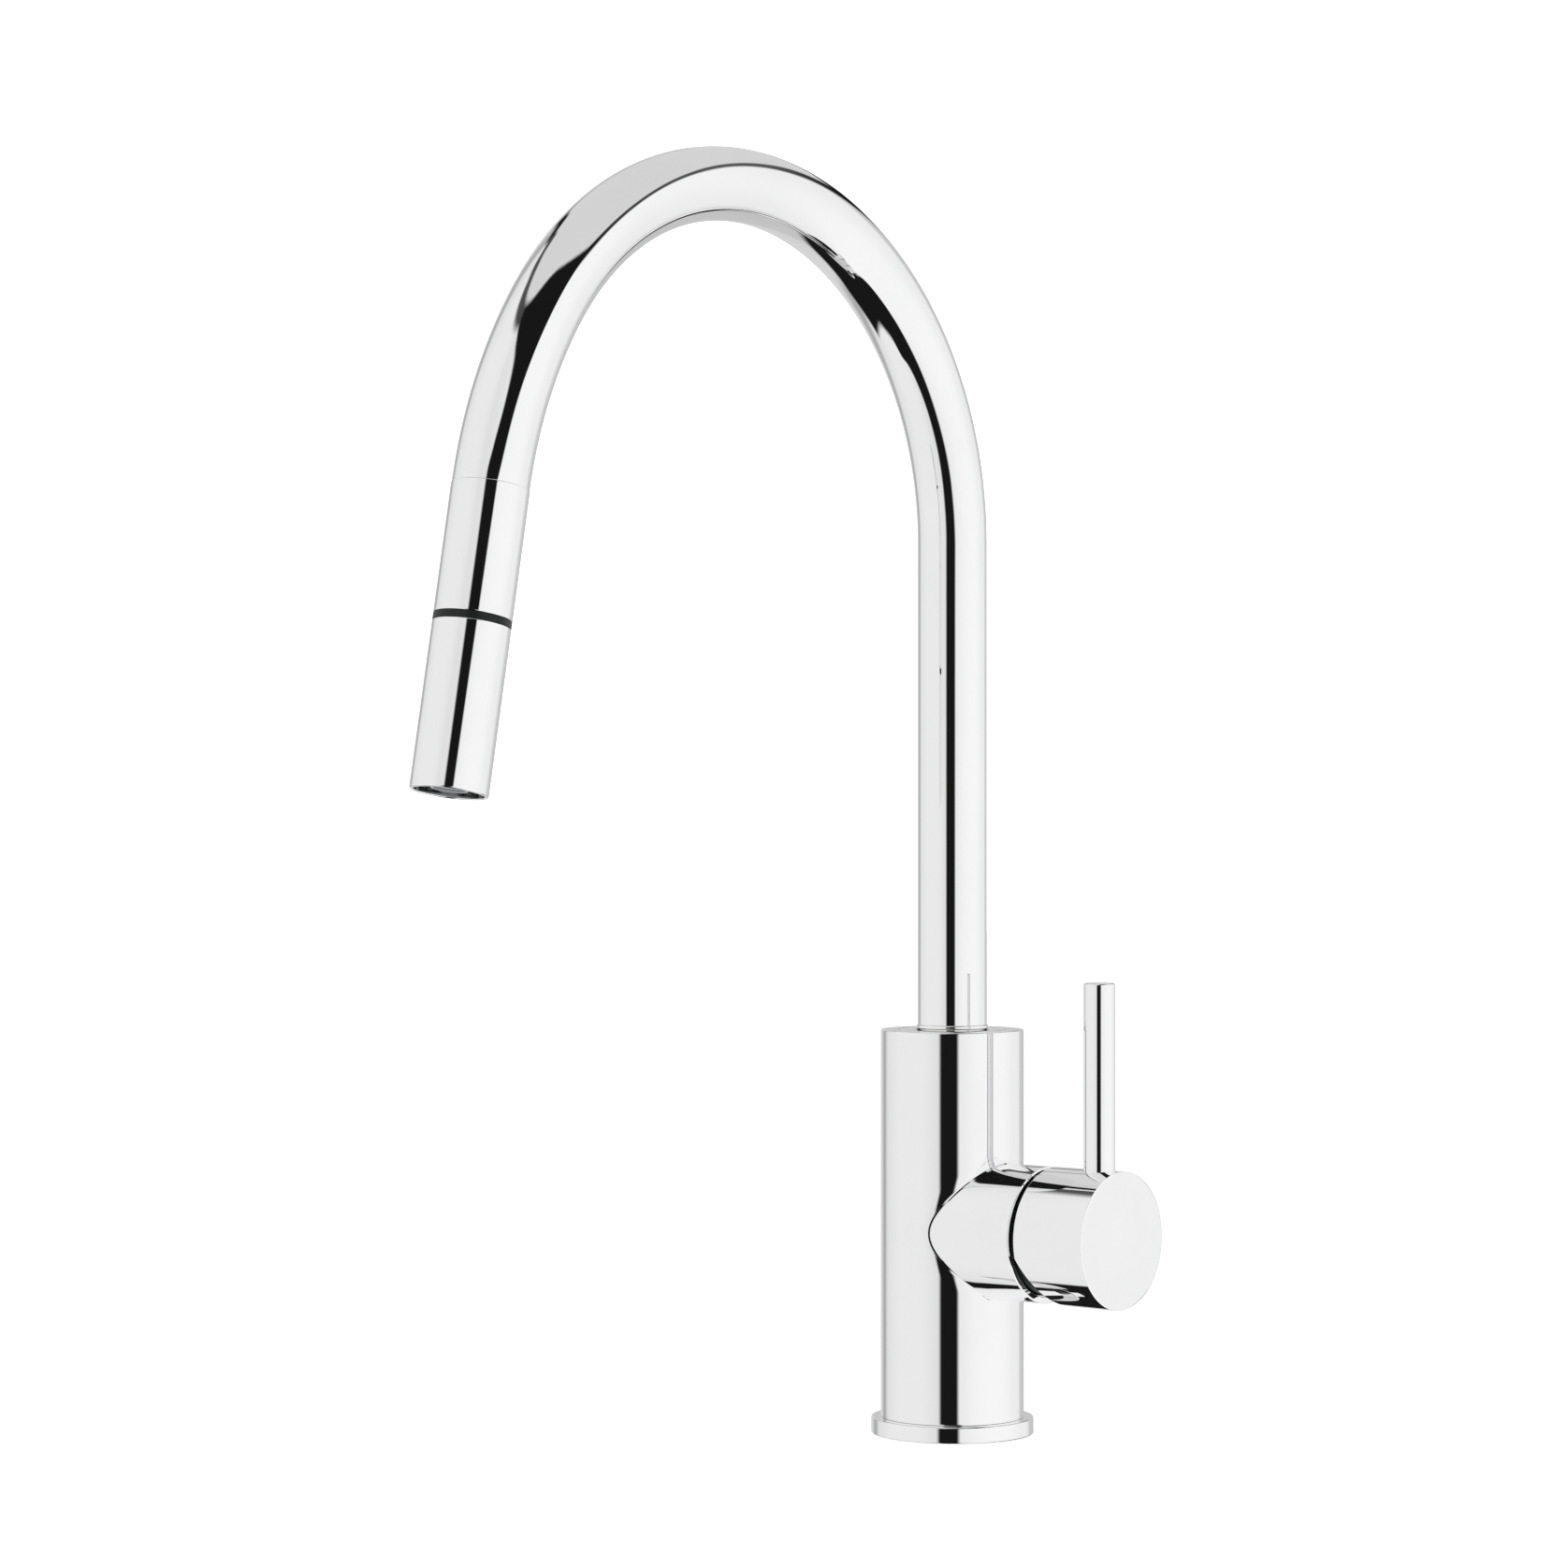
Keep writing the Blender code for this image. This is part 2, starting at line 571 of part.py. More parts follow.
def make_spout_tube():
    over = 5 * MM
    path = [Vector((0, 0, TUBE_START)), *bend_points(0, SPOUT_TURN)]
    path.insert(-1, down_spout(-1 * MM))  # keeps the tube's end square to the head's line
    tube = place(pipe_mesh("spout_tube", path, TUBE_R, TUBE_SIDES), PARTS)
    tube.data.materials.append(CHROME)
    longer = [Vector((0, 0, TUBE_START - over)), *path[1:], down_spout(over)]
    bore = pipe_mesh("spout_bore", longer, TUBE_BORE_R, TUBE_BORE_SIDES)
    foot_seat = sleeve(FOOT_R, TUBE_R - SEAT_STEP, COLLAR_TOP + GAP, TUBE_START - over)
    cut(tube, as_cutter(place(bore, CUTTERS)), cutter("foot_seat", foot_seat))


def make_spout_foot():
    seat_r = TUBE_R - SEAT_STEP + GAP
    turned("spout_collar", sleeve(COLLAR_R, seat_r, COLLAR_TOP, BODY_TOP + GAP), CHROME)
    top = SOCKET_TOP - 2 * GAP
    profile = [(FOOT_R, top)]
    for height in RING_HEIGHTS.values():
        groove_top = height + RING_GROOVE_WIDTH / 2
        groove_bottom = height - RING_GROOVE_WIDTH / 2
        profile += [(FOOT_R, groove_top), (RING_GROOVE_R, groove_top),
                    (RING_GROOVE_R, groove_bottom), (FOOT_R, groove_bottom)]
    lip = TUBE_START - GAP
    profile += [(FOOT_R, FOOT_BOTTOM), (TUBE_BORE_R, FOOT_BOTTOM), (TUBE_BORE_R, lip),
                (seat_r, lip), (seat_r, top)]
    turned("spout_foot", profile, BRASS)
    for name, height in RING_HEIGHTS.items():
        turned(f"spout_oring_{name}", torus_profile(RING_CENTRE_R, height, RING_THICKNESS_R),
               RUBBER, steps=INNER_ROUND)


def make_hose():
    """The hose inside the body and spout, its lower coupling, its guide and its dock."""
    last_turn = SPOUT_TURN - (HOSE_TAIL_TOP + HOSE_OVERLAP) / TIP_BEND_R
    riser_steps = 10
    riser = [Vector((0, 0, HOSE_START + (BEND_START - HOSE_START) * i / riser_steps))
             for i in range(riser_steps)]
    bend_steps = 16
    turns = [last_turn * i / bend_steps for i in range(bend_steps + 1)]
    bend = [Vector((0, -reach, height)) for reach, height in map(on_spout, turns)]
    hose = place(pipe_mesh("pull_hose", riser + bend, HOSE_R, HOSE_SIDES), PARTS)
    hose.data.materials.append(BRAID)
    turned("hose_coupling", COUPLING, BRASS, steps=SMALL_ROUND)
    guide_bottom, guide_top = GUIDE
    turned("hose_guide", sleeve(TUBE_BORE_R - GAP, GUIDE_BORE_R, guide_top, guide_bottom),
           WHITE_PLASTIC, steps=INNER_ROUND)
    lip_bottom, lip_top = DOCK_LIP
    turned("dock_insert", [
        (DOCK_R, DOCK_TOP), (DOCK_R, lip_top), (DOCK_LIP_R, lip_top), (DOCK_LIP_R, lip_bottom),
        (DOCK_BORE_R, lip_bottom), (DOCK_BORE_R, DOCK_TOP)], WHITE_PLASTIC, SEAM, HEAD_TILT,
        steps=INNER_ROUND)


# ---------------------------------------------------------------- spray head

def make_spray_head():
    head = new_frame("head_axis", SEAM, HEAD_TILT)
    neck_hole_r = NECK_R + GAP
    turned("grip_barrel", [
        (HEAD_R - EDGE, -GAP), (HEAD_R, -GAP - EDGE), (HEAD_R, -GRIP_END),
        (HEAD_BORE_R, -GRIP_END), (HEAD_BORE_R, -GRIP_END_WALL), (neck_hole_r, -GRIP_END_WALL),
        (neck_hole_r, -GAP)], CHROME, parent=head)
    flange_top, flange_bottom = NECK_FLANGE
    turned("hose_nut", [
        (NECK_R - EDGE, NECK_HEIGHT), (NECK_R, NECK_HEIGHT - EDGE), (NECK_R, -flange_top),
        (NECK_FLANGE_R, -flange_top), (NECK_FLANGE_R, -flange_bottom),
        (NECK_BORE_R, -flange_bottom), (NECK_BORE_R, NECK_HEIGHT)], BRASS, parent=head,
        steps=INNER_ROUND)
    turned("hose_tail", disc(HOSE_R, HOSE_TAIL_TOP, NECK_HEIGHT + GAP), BRAID, parent=head,
           steps=SMALL_ROUND)
    for name, radius, bore_r, top, bottom, material in HEAD_SLEEVES:
        turned(name, sleeve(radius, bore_r, -top, -bottom), material, parent=head,
               steps=INNER_ROUND)
    turned("selector_ring", sleeve(HEAD_R, RING_BORE_R, -GRIP_END - GAP, -RING_END),
           BLACK_PLASTIC, parent=head)


def make_nozzle():
    """The lower barrel, which twists about the head's line to change the spray."""
    nozzle = new_frame("nozzle_axis", SEAM, HEAD_TILT)
    top = -RING_END - GAP
    turned("nozzle_barrel", [
        (HEAD_R, top), (HEAD_R, EDGE - HEAD_LENGTH), (HEAD_R - EDGE, -HEAD_LENGTH),
        (HEAD_BORE_R, -HEAD_LENGTH), (HEAD_BORE_R, top)], CHROME, parent=nozzle)
    turned("nozzle_core", [
        (CORE_R, top), (CORE_R, -NOZZLE_CORE_END), (CORE_WELL_R, -NOZZLE_CORE_END),
        (CORE_WELL_R, -NOZZLE_CORE_FLOOR), (WATER_R, -NOZZLE_CORE_FLOOR), (WATER_R, top)],
        GREY_PLASTIC, parent=nozzle, steps=INNER_ROUND)
    turned("selector_screw", SELECTOR_SCREW, STEEL, parent=nozzle, steps=SMALL_ROUND)
    face = turned("spray_face", sleeve(FACE_R, FACE_BORE_R, -FACE_START, -FACE_END),
                  BLACK_PLASTIC, parent=nozzle)
    bpy.context.view_layer.update()
    jet = disc(JET_R, JET_ROOT - FACE_END, -JET_END)
    for i in range(SPRAY_HOLES):
        turn = 2 * math.pi * i / SPRAY_HOLES
        at = nozzle.matrix_world @ Vector(
            (SPRAY_RING_R * math.cos(turn), SPRAY_RING_R * math.sin(turn), 0))
        join(face, cutter(f"jet_{i}", jet, at, HEAD_TILT, JET_SIDES))
    turned("aerator", [
        (0, -AERATOR_START), (AERATOR_R, -AERATOR_START), (AERATOR_R, -AERATOR_END),
        (AERATOR_BORE_R, -AERATOR_END), (AERATOR_BORE_R, -AERATOR_FLOOR), (0, -AERATOR_FLOOR)],
        GREY_PLASTIC, parent=nozzle, steps=INNER_ROUND)


def smooth_round_pieces():
    for obj in PARTS.objects:
        if obj.type != "MESH":
            continue
        obj.data.shade_smooth()
        screw = obj.modifiers.get("Turn")
        if screw:
            screw.use_smooth_shade = True


make_body_shell()
make_base()
make_nipples()
make_cartridge()
make_rotor()
make_handle()
make_spout_tube()
make_spout_foot()
make_hose()
make_spray_head()
make_nozzle()
smooth_round_pieces()
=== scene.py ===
"""The looks of the pull-down kitchen faucet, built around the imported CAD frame.

Everything is in metres, in the CAD's frame: origin at the centre of the base's underside,
+Z up, the valve's barrel along +X and the spout along -Y.
"""

import cmath
import json
import math

import bmesh
import bpy
from mathutils import Euler, Matrix, Vector


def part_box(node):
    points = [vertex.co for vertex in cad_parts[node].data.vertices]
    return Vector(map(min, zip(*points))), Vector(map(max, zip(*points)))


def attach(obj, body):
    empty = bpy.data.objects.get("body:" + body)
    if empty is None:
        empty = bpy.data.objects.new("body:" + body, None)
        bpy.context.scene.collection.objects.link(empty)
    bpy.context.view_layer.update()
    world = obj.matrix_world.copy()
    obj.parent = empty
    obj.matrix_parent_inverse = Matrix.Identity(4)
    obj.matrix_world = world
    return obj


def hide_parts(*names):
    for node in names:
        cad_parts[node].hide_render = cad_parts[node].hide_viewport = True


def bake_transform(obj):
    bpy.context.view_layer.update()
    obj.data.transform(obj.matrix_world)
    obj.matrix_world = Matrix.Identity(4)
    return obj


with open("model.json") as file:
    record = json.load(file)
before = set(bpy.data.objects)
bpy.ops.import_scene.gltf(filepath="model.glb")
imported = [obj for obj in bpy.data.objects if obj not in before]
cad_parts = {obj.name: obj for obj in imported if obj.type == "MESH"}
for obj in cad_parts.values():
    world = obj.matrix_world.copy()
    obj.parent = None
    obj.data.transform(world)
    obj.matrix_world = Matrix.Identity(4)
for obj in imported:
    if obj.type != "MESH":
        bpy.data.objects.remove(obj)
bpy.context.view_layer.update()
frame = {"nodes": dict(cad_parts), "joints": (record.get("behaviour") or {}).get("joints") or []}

MM = 0.001
FINE = 256  # sides of a large round piece
MEDIUM = 128
SMALL = 64
ARC_STEPS = 6  # faces across a rounded edge


# ---------------------------------------------------------------- sizes read from the frame

def half_width(node, axis=0):
    low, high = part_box(node)
    return (high[axis] - low[axis]) / 2


def joint(name):
    return next(j for j in frame["joints"] if j["name"] == name)


BODY_R = half_width("body_shell", 1)
BODY_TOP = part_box("body_shell")[1].z
FLANGE_R = half_width("base_ring")
BOSS_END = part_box("body_shell")[1].x
BARREL_R = half_width("handle_cap", 1)
CAP_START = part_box("handle_cap")[0].x
CAP_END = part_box("handle_cap")[1].x
LEVER_R = half_width("lever_pin", 1)
LEVER_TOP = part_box("lever_pin")[1].z
LEVER_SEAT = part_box("lever_pin")[0].z
LEVER_X = sum(corner.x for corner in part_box("lever_pin")) / 2
COLLAR_R = half_width("spout_collar")
COLLAR_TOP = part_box("spout_collar")[1].z
PIVOT = Vector(joint("lever_lift")["pos_m"])
VALVE_Z = PIVOT.z
SEAM = Vector(joint("nozzle_twist")["pos_m"])
HEAD_LINE = Vector(joint("head_slide")["axis"]).normalized()
HEAD_PULL = joint("head_slide")["range_m"][1]

# Sizes that the frame's boxes don't give, the same as in part.py
GAP = 0.3 * MM
FLANGE_H = 5.6 * MM
SPIGOT_TOP = 14.0 * MM
BASE_BORE_R = 17.5 * MM
SOCKET_R = 16.5 * MM
SOCKET_FLOOR = 92.0 * MM
SOCKET_TOP = 134.0 * MM
GLAND_R = 18.6 * MM
CAVITY_R = 20.5 * MM
CAVITY_TOP = 24.0 * MM
HOSE_CHANNEL_R = 6.6 * MM
CHAMBER_R = 18.2 * MM
CHAMBER_FLOOR = 14.5 * MM
COVER_SEAT = 38.6 * MM
COVER_BORE_R = 21.2 * MM
COVER_BALL_R = 20.8 * MM
COVER_END = 49.0 * MM
CAP_BORE_R = 21.3 * MM
CAP_BORE_END = 56.0 * MM
STEM_R = 4.5 * MM
STEM_END = 64.0 * MM
TUBE_R = 12.1 * MM
TUBE_FOOT_R = 11.6 * MM
TUBE_START = 98.0 * MM
TUBE_BORE_R = 10.4 * MM
BEND_START = 310.1 * MM
BEND_R = 112.2 * MM
BEND_TURN = math.radians(145.05)
TIP_BEND_R = 151.2 * MM
SPOUT_TURN = math.radians(169.2)
HEAD_R = 12.25 * MM
HEAD_BORE_R = 10.9 * MM
GRIP_END = 40.9 * MM
RING_END = 43.2 * MM
HEAD_LENGTH = 95.6 * MM
HOSE_R = 5.2 * MM
HOSE_START = 16.3 * MM
NECK_HEIGHT = 12.0 * MM
SPRAY_HOLES = 12
SPRAY_RING_R = 8.3 * MM

# Finer edges and seams than the CAD's solids have
EDGE = 0.5 * MM
SMALL_EDGE = 0.3 * MM
SEAM_ROUNDING = 0.1 * MM
SEAM_GAP = 0.04 * MM
BODY_BOTTOM = FLANGE_H + SEAM_GAP
SHARP_ANGLE = math.radians(30)

UPRIGHT = Matrix.Identity(4)
ALONG_BARREL = (Matrix.Translation((0, 0, VALVE_Z))
                @ Euler((0, math.pi / 2, 0)).to_matrix().to_4x4())
ALONG_HEAD = Matrix.Translation(SEAM) @ Euler((SPOUT_TURN - math.pi, 0, 0)).to_matrix().to_4x4()


# ---------------------------------------------------------------- meshes with exact normals

class Skin:
    """Grids of points that join into one mesh. Each corner keeps the true normal of the
    surface, so that polished metal reflects as if it had no faces."""

    def __init__(self):
        self.places = {}
        self.points = []
        self.faces = []
        self.normals = []

    def place(self, point):
        key = (round(point.x, 7), round(point.y, 7), round(point.z, 7))
        if key not in self.places:
            self.places[key] = len(self.points)
            self.points.append(point)
        return self.places[key]

    def grid(self, points, normals):
        """One face between each two rows and two columns of points."""
        keys = [[self.place(point) for point in row] for row in points]
        for row in range(len(keys) - 1):
            for column in range(len(keys[row]) - 1):
                face = {}
                for r, c in ((row, column), (row + 1, column),
                             (row + 1, column + 1), (row, column + 1)):
                    face.setdefault(keys[r][c], normals[r][c])
                if len(face) > 2:
                    self.faces.append(list(face))
                    self.normals += face.values()

    def turn(self, corners, matrix=UPRIGHT, sides=FINE, angles=None, closed=True):
        """Turns an outline about the matrix's Z axis."""
        angles = angles or [math.tau * i / sides for i in range(sides + 1)]
        turned = matrix.to_3x3()
        outward = [turned @ Vector((math.cos(a), math.sin(a), 0)) for a in angles]
        upward = turned @ Vector((0, 0, 1))
        origin = matrix.translation
        stations = outline(corners, closed)
        following = stations[1:] + stations[:1] if closed else stations[1:]
        for (first, _, first_normal), (second, second_normal, _) in zip(stations, following):
            if first.real == 0 and second.real == 0:
                continue
            self.grid([[origin + upward * p.imag + out * p.real for out in outward]
                       for p in (first, second)],
                      [[upward * n.imag + out * n.real for out in outward]
                       for n in (first_normal, second_normal)])

    def piece(self, name):
        mesh = bpy.data.meshes.new(name)
        mesh.from_pydata(self.points, [], self.faces)
        mesh.shade_smooth()
        mesh.normals_split_custom_set(self.normals)
        obj = bpy.data.objects.new(name, mesh)
        bpy.context.scene.collection.objects.link(obj)
        return obj


def outline(corners, closed=True):
    """The stations of an outline of (radius, height, rounding) corners, with each rounding
    an arc. A station is a point and the normals before and after it, as complex numbers
    with the radius as their real part. The outline runs down its outer side."""
    places = [complex(radius, height) for radius, height, _ in corners]
    count = len(places)
    stations = []
    for i, (here, (_, _, rounding)) in enumerate(zip(places, corners)):
        before = here - places[i - 1]
        after = places[(i + 1) % count] - here
        if not closed and i == 0:
            before = after
        if not closed and i == count - 1:
            after = before
        before /= abs(before)
        after /= abs(after)
        normal = before * 1j
        if not rounding:
            stations.append((here, normal, after * 1j))
            continue
        turn = cmath.phase(after / before)
        start = here - before * rounding * math.tan(abs(turn) / 2)
        centre = start + math.copysign(rounding, turn) * normal
        for step in range(ARC_STEPS + 1):
            swing = cmath.rect(1, turn * step / ARC_STEPS)
            stations.append((centre + (start - centre) * swing, normal * swing, normal * swing))
    return stations


def turned(name, corners, matrix=UPRIGHT, sides=FINE):
    skin = Skin()
    skin.turn(corners, matrix, sides)
    return skin.piece(name)


def sleeve(radius, bore, top, bottom, rounding=EDGE, inner=0.0):
    return [(radius, top, rounding), (radius, bottom, rounding), (bore, bottom, inner),
            (bore, top, inner)]


def settle(obj, body, slot, *nodes):
    """Puts a finished piece on its body, in place of the CAD nodes that it stands for."""
    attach(obj, body)
    obj.data.materials.clear()
    obj.data.materials.append(MATERIALS[slot])
    if nodes:
        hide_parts(*nodes)
    return obj


# ---------------------------------------------------------------- materials

class Graph:
    """A short way to write a node tree."""

    def __init__(self, tree):
        self.tree = tree

    def link(self, value, socket):
        """Joins a socket to the input, or sets the input to a plain value."""
        if isinstance(value, bpy.types.NodeSocket):
            self.tree.links.new(value, socket)
        else:
            socket.default_value = value

    def add(self, kind, **inputs):
        node = self.tree.nodes.new(kind)
        for key, value in inputs.items():
            self.link(value, node.inputs[key.replace("_", " ")])
        return node

    def math(self, operation, *values):
        node = self.tree.nodes.new("ShaderNodeMath")
        node.operation = operation
        for value, socket in zip(values, node.inputs):
            self.link(value, socket)
        return node.outputs["Value"]

    def span(self, value, lowest, highest, low=0.0, high=1.0, smooth=False):
        """The value's stretch from lowest to highest, spread from low to high."""
        node = self.add("ShaderNodeMapRange", Value=value, From_Min=lowest, From_Max=highest,
                        To_Min=low, To_Max=high)
        if smooth:
            node.interpolation_type = "SMOOTHSTEP"
        return node.outputs["Result"]


class Nodes(Graph):
    """A Principled material."""

    def __init__(self, name, colour, metallic=0.0, roughness=0.4):
        self.material = bpy.data.materials.new(name)
        self.material.use_nodes = True
        super().__init__(self.material.node_tree)
        self.shader = self.tree.nodes["Principled BSDF"]
        self.shader.inputs["Base Color"].default_value = (*colour, 1.0)
        self.shader.inputs["Metallic"].default_value = metallic
        self.shader.inputs["Roughness"].default_value = roughness
        self.coordinates = self.tree.nodes.new("ShaderNodeTexCoord").outputs["Object"]

    def stretched(self, scale):
        return self.add("ShaderNodeMapping", Vector=self.coordinates,
                        Scale=scale).outputs["Vector"]

    def noise(self, scale, detail=3.0, vector=None):
        return self.add("ShaderNodeTexNoise", Vector=vector or self.coordinates, Scale=scale,
                        Detail=detail).outputs["Fac"]

    def colour(self, value, low, high):
        ramp = self.add("ShaderNodeValToRGB", Fac=value)
        ramp.color_ramp.elements[0].position = 0.3
        ramp.color_ramp.elements[0].color = (*low, 1.0)
        ramp.color_ramp.elements[1].position = 0.7
        ramp.color_ramp.elements[1].color = (*high, 1.0)
        self.link(ramp.outputs["Color"], self.shader.inputs["Base Color"])

    def roughness(self, value, low, high):
        self.link(self.span(value, 0.3, 0.7, low, high), self.shader.inputs["Roughness"])

    def bump(self, height, distance):
        node = self.add("ShaderNodeBump", Height=height, Distance=distance)
        self.link(node.outputs["Normal"], self.shader.inputs["Normal"])


def make_chrome():
    """Polished chrome plate: a faint haze of wiped water marks and a trace of orange peel."""
    nodes = Nodes("chrome", (0.9, 0.9, 0.9), metallic=1.0)
    haze = nodes.noise(38.0, detail=5.0)
    nodes.colour(haze, (0.925, 0.928, 0.935), (0.945, 0.945, 0.945))
    wipes = nodes.noise(240.0, vector=nodes.stretched((1.0, 1.0, 0.12)))
    nodes.link(nodes.span(nodes.math("MULTIPLY", haze, wipes), 0.1, 0.5, 0.012, 0.05),
               nodes.shader.inputs["Roughness"])
    nodes.bump(nodes.noise(420.0, detail=2.0), 0.0000004)
    return nodes.material


def make_machined(name, dark, light, roughness):
    """Turned metal with fine tool marks."""
    nodes = Nodes(name, light, metallic=1.0)
    nodes.colour(nodes.noise(90.0), dark, light)
    marks = nodes.noise(900.0, vector=nodes.stretched((0.15, 0.15, 1.0)))
    nodes.roughness(marks, roughness - 0.08, roughness + 0.1)
    nodes.bump(marks, 0.00001)
    return nodes.material


def make_plastic(name, dark, light, roughness, grain, shine=0.5):
    """Moulded plastic, rubber or ceramic with a fine grain."""
    nodes = Nodes(name, light)
    nodes.shader.inputs["Specular IOR Level"].default_value = shine
    nodes.colour(nodes.noise(60.0), dark, light)
    fine = nodes.noise(2200.0)
    nodes.roughness(fine, roughness - 0.06, roughness + 0.08)
    nodes.bump(fine, grain)
    return nodes.material


def make_braid():
    """Woven nylon over a hose: two sets of helical yarns that pass over and under. It reads
    the mesh's own map, in turns round the hose and yarn widths along it."""
    nodes = Nodes("braid", (0.3, 0.31, 0.33))
    woven = nodes.tree.nodes.new("ShaderNodeUVMap")
    woven.uv_map = "weave"
    split = nodes.add("ShaderNodeSeparateXYZ", Vector=woven.outputs["UV"])
    yarns = []
    for sign in (1.0, -1.0):
        across = nodes.math("MULTIPLY_ADD", split.outputs["Y"], sign, split.outputs["X"])
        yarns.append(nodes.math("SINE", nodes.math("MULTIPLY", across, math.pi)))
    height = nodes.math("ABSOLUTE", nodes.math("MULTIPLY", *yarns))
    # Colour from near black in the grooves between yarns to grey on their crowns: painted shade.
    nodes.colour(height, (0.05, 0.052, 0.056), (0.36, 0.37, 0.39))
    nodes.roughness(nodes.noise(1500.0), 0.42, 0.6)
    nodes.bump(height, 0.0003)
    nodes.shader.inputs["Metallic"].default_value = 0.35
    return nodes.material


MATERIALS = {
    "chrome": make_chrome(),
    "brass": make_machined("brass", (0.62, 0.45, 0.2), (0.78, 0.6, 0.3), 0.26),
    "steel": make_machined("steel", (0.5, 0.5, 0.52), (0.64, 0.64, 0.65), 0.28),
    "rubber": make_plastic("rubber", (0.012, 0.012, 0.013), (0.03, 0.03, 0.032), 0.55, 0.00003),
    "black_plastic": make_plastic("black_plastic", (0.006, 0.008, 0.008),
                                  (0.014, 0.016, 0.016), 0.3, 0.000008, 0.25),
    "grey_plastic": make_plastic("grey_plastic", (0.3, 0.31, 0.32), (0.38, 0.39, 0.4), 0.42,
                                 0.00001),
    "white_plastic": make_plastic("white_plastic", (0.76, 0.76, 0.74), (0.84, 0.84, 0.82),
                                  0.36, 0.000008),
    "ceramic": make_plastic("ceramic", (0.86, 0.84, 0.8), (0.92, 0.9, 0.87), 0.16, 0.000002),
    "braid": make_braid(),
}
NODE_SLOTS = {
    "thrust_washer": "white_plastic", "hot_nipple": "brass", "cold_nipple": "brass",
    "mixed_nipple": "brass", "port_gasket": "rubber", "cartridge_base": "grey_plastic",
    "fixed_disc": "ceramic", "cartridge_housing": "grey_plastic", "cartridge_nut": "brass",
    "cartridge_carrier": "white_plastic", "pivot_pin": "steel", "moving_disc": "ceramic",
    "cartridge_stem": "brass", "spout_foot": "brass", "spout_oring_upper": "rubber",
    "spout_oring_lower": "rubber", "hose_guide": "white_plastic", "hose_coupling": "brass",
    "inlet_washer": "rubber", "waterway_core": "grey_plastic", "check_valve": "white_plastic",
    "diverter_disc": "ceramic", "selector_seal": "rubber", "nozzle_core": "grey_plastic",
    "selector_screw": "steel",
}


def finish_carried_nodes():
    """The hidden works keep their CAD shapes and take the same finishes."""
    for name, slot in NODE_SLOTS.items():
        mesh = frame["nodes"][name].data
        mesh.materials.clear()
        mesh.materials.append(MATERIALS[slot])


# ---------------------------------------------------------------- body

PATCH_HALF_COLUMNS = FINE // 4  # the valve's side of the body, a quarter turn each way
PATCH_ROWS = 72
PATCH_RINGS = 28
PATCH_CROWDING = 1.7  # towards the boss
PATCH_HALF_HEIGHT = 36.0 * MM
SADDLE_WIDTH = 0.55 * MM  # of each wall of the groove where the boss meets the body
SADDLE_DEPTH = 0.2 * MM
HOLLOW_WIDTH = 3.5 * MM  # the polished body falls away a little towards the groove
HOLLOW_DEPTH = 0.14 * MM
BOSS_WALL_START = 32.0 * MM
CHAMFER_DEPTH = 0.6 * MM
CHAMFER_LENGTH = 0.3 * MM
CHAMFER_ROUNDING = 0.08 * MM


def body_point(turn, height):
    return Vector((BODY_R * math.cos(turn), BODY_R * math.sin(turn), height))


def body_normal(turn):
    return Vector((math.cos(turn), math.sin(turn), 0))


def boss_point(turn, reach):
    return Vector((reach, BARREL_R * math.sin(turn), VALVE_Z - BARREL_R * math.cos(turn)))


def boss_normal(turn):
    return Vector((0, math.sin(turn), -math.cos(turn)))


def patch_border():
    """The patch's border as (turn about the body, height from the valve's axis), round the
    valve from its lowest point."""
    quarter = math.pi / 2
    across = [quarter * i / PATCH_HALF_COLUMNS for i in range(PATCH_HALF_COLUMNS)]
    rise = [PATCH_HALF_HEIGHT * (2 * i / PATCH_ROWS - 1) for i in range(PATCH_ROWS)]
    border = [(turn, -PATCH_HALF_HEIGHT) for turn in across]
    border += [(quarter, height) for height in rise]
    border += [(quarter - turn, PATCH_HALF_HEIGHT) for turn in across]
    border += [(-turn, PATCH_HALF_HEIGHT) for turn in across]
    border += [(-quarter, -height) for height in rise]
    border += [(turn - quarter, -PATCH_HALF_HEIGHT) for turn in across]
    return border + border[:1]


def hollow(place, edge):
    """A point of the body and its normal near the groove, whose edge is also given, both as
    (turn, height): the body falls away towards the groove along a parabola."""
    across = (edge[0] - place[0]) * BODY_R
    along = edge[1] - place[1]
    share = max(0, 1 - math.hypot(across, along) / HOLLOW_WIDTH)
    normal = body_normal(place[0])
    point = body_point(place[0], VALVE_Z + place[1]) - normal * HOLLOW_DEPTH * share ** 2
    if 0 < share < 1:
        towards = Vector((-math.sin(place[0]), math.cos(place[0]), 0)) * across
        towards.z = along
        normal += towards.normalized() * 2 * HOLLOW_DEPTH * share / HOLLOW_WIDTH
    return point, normal.normalized()


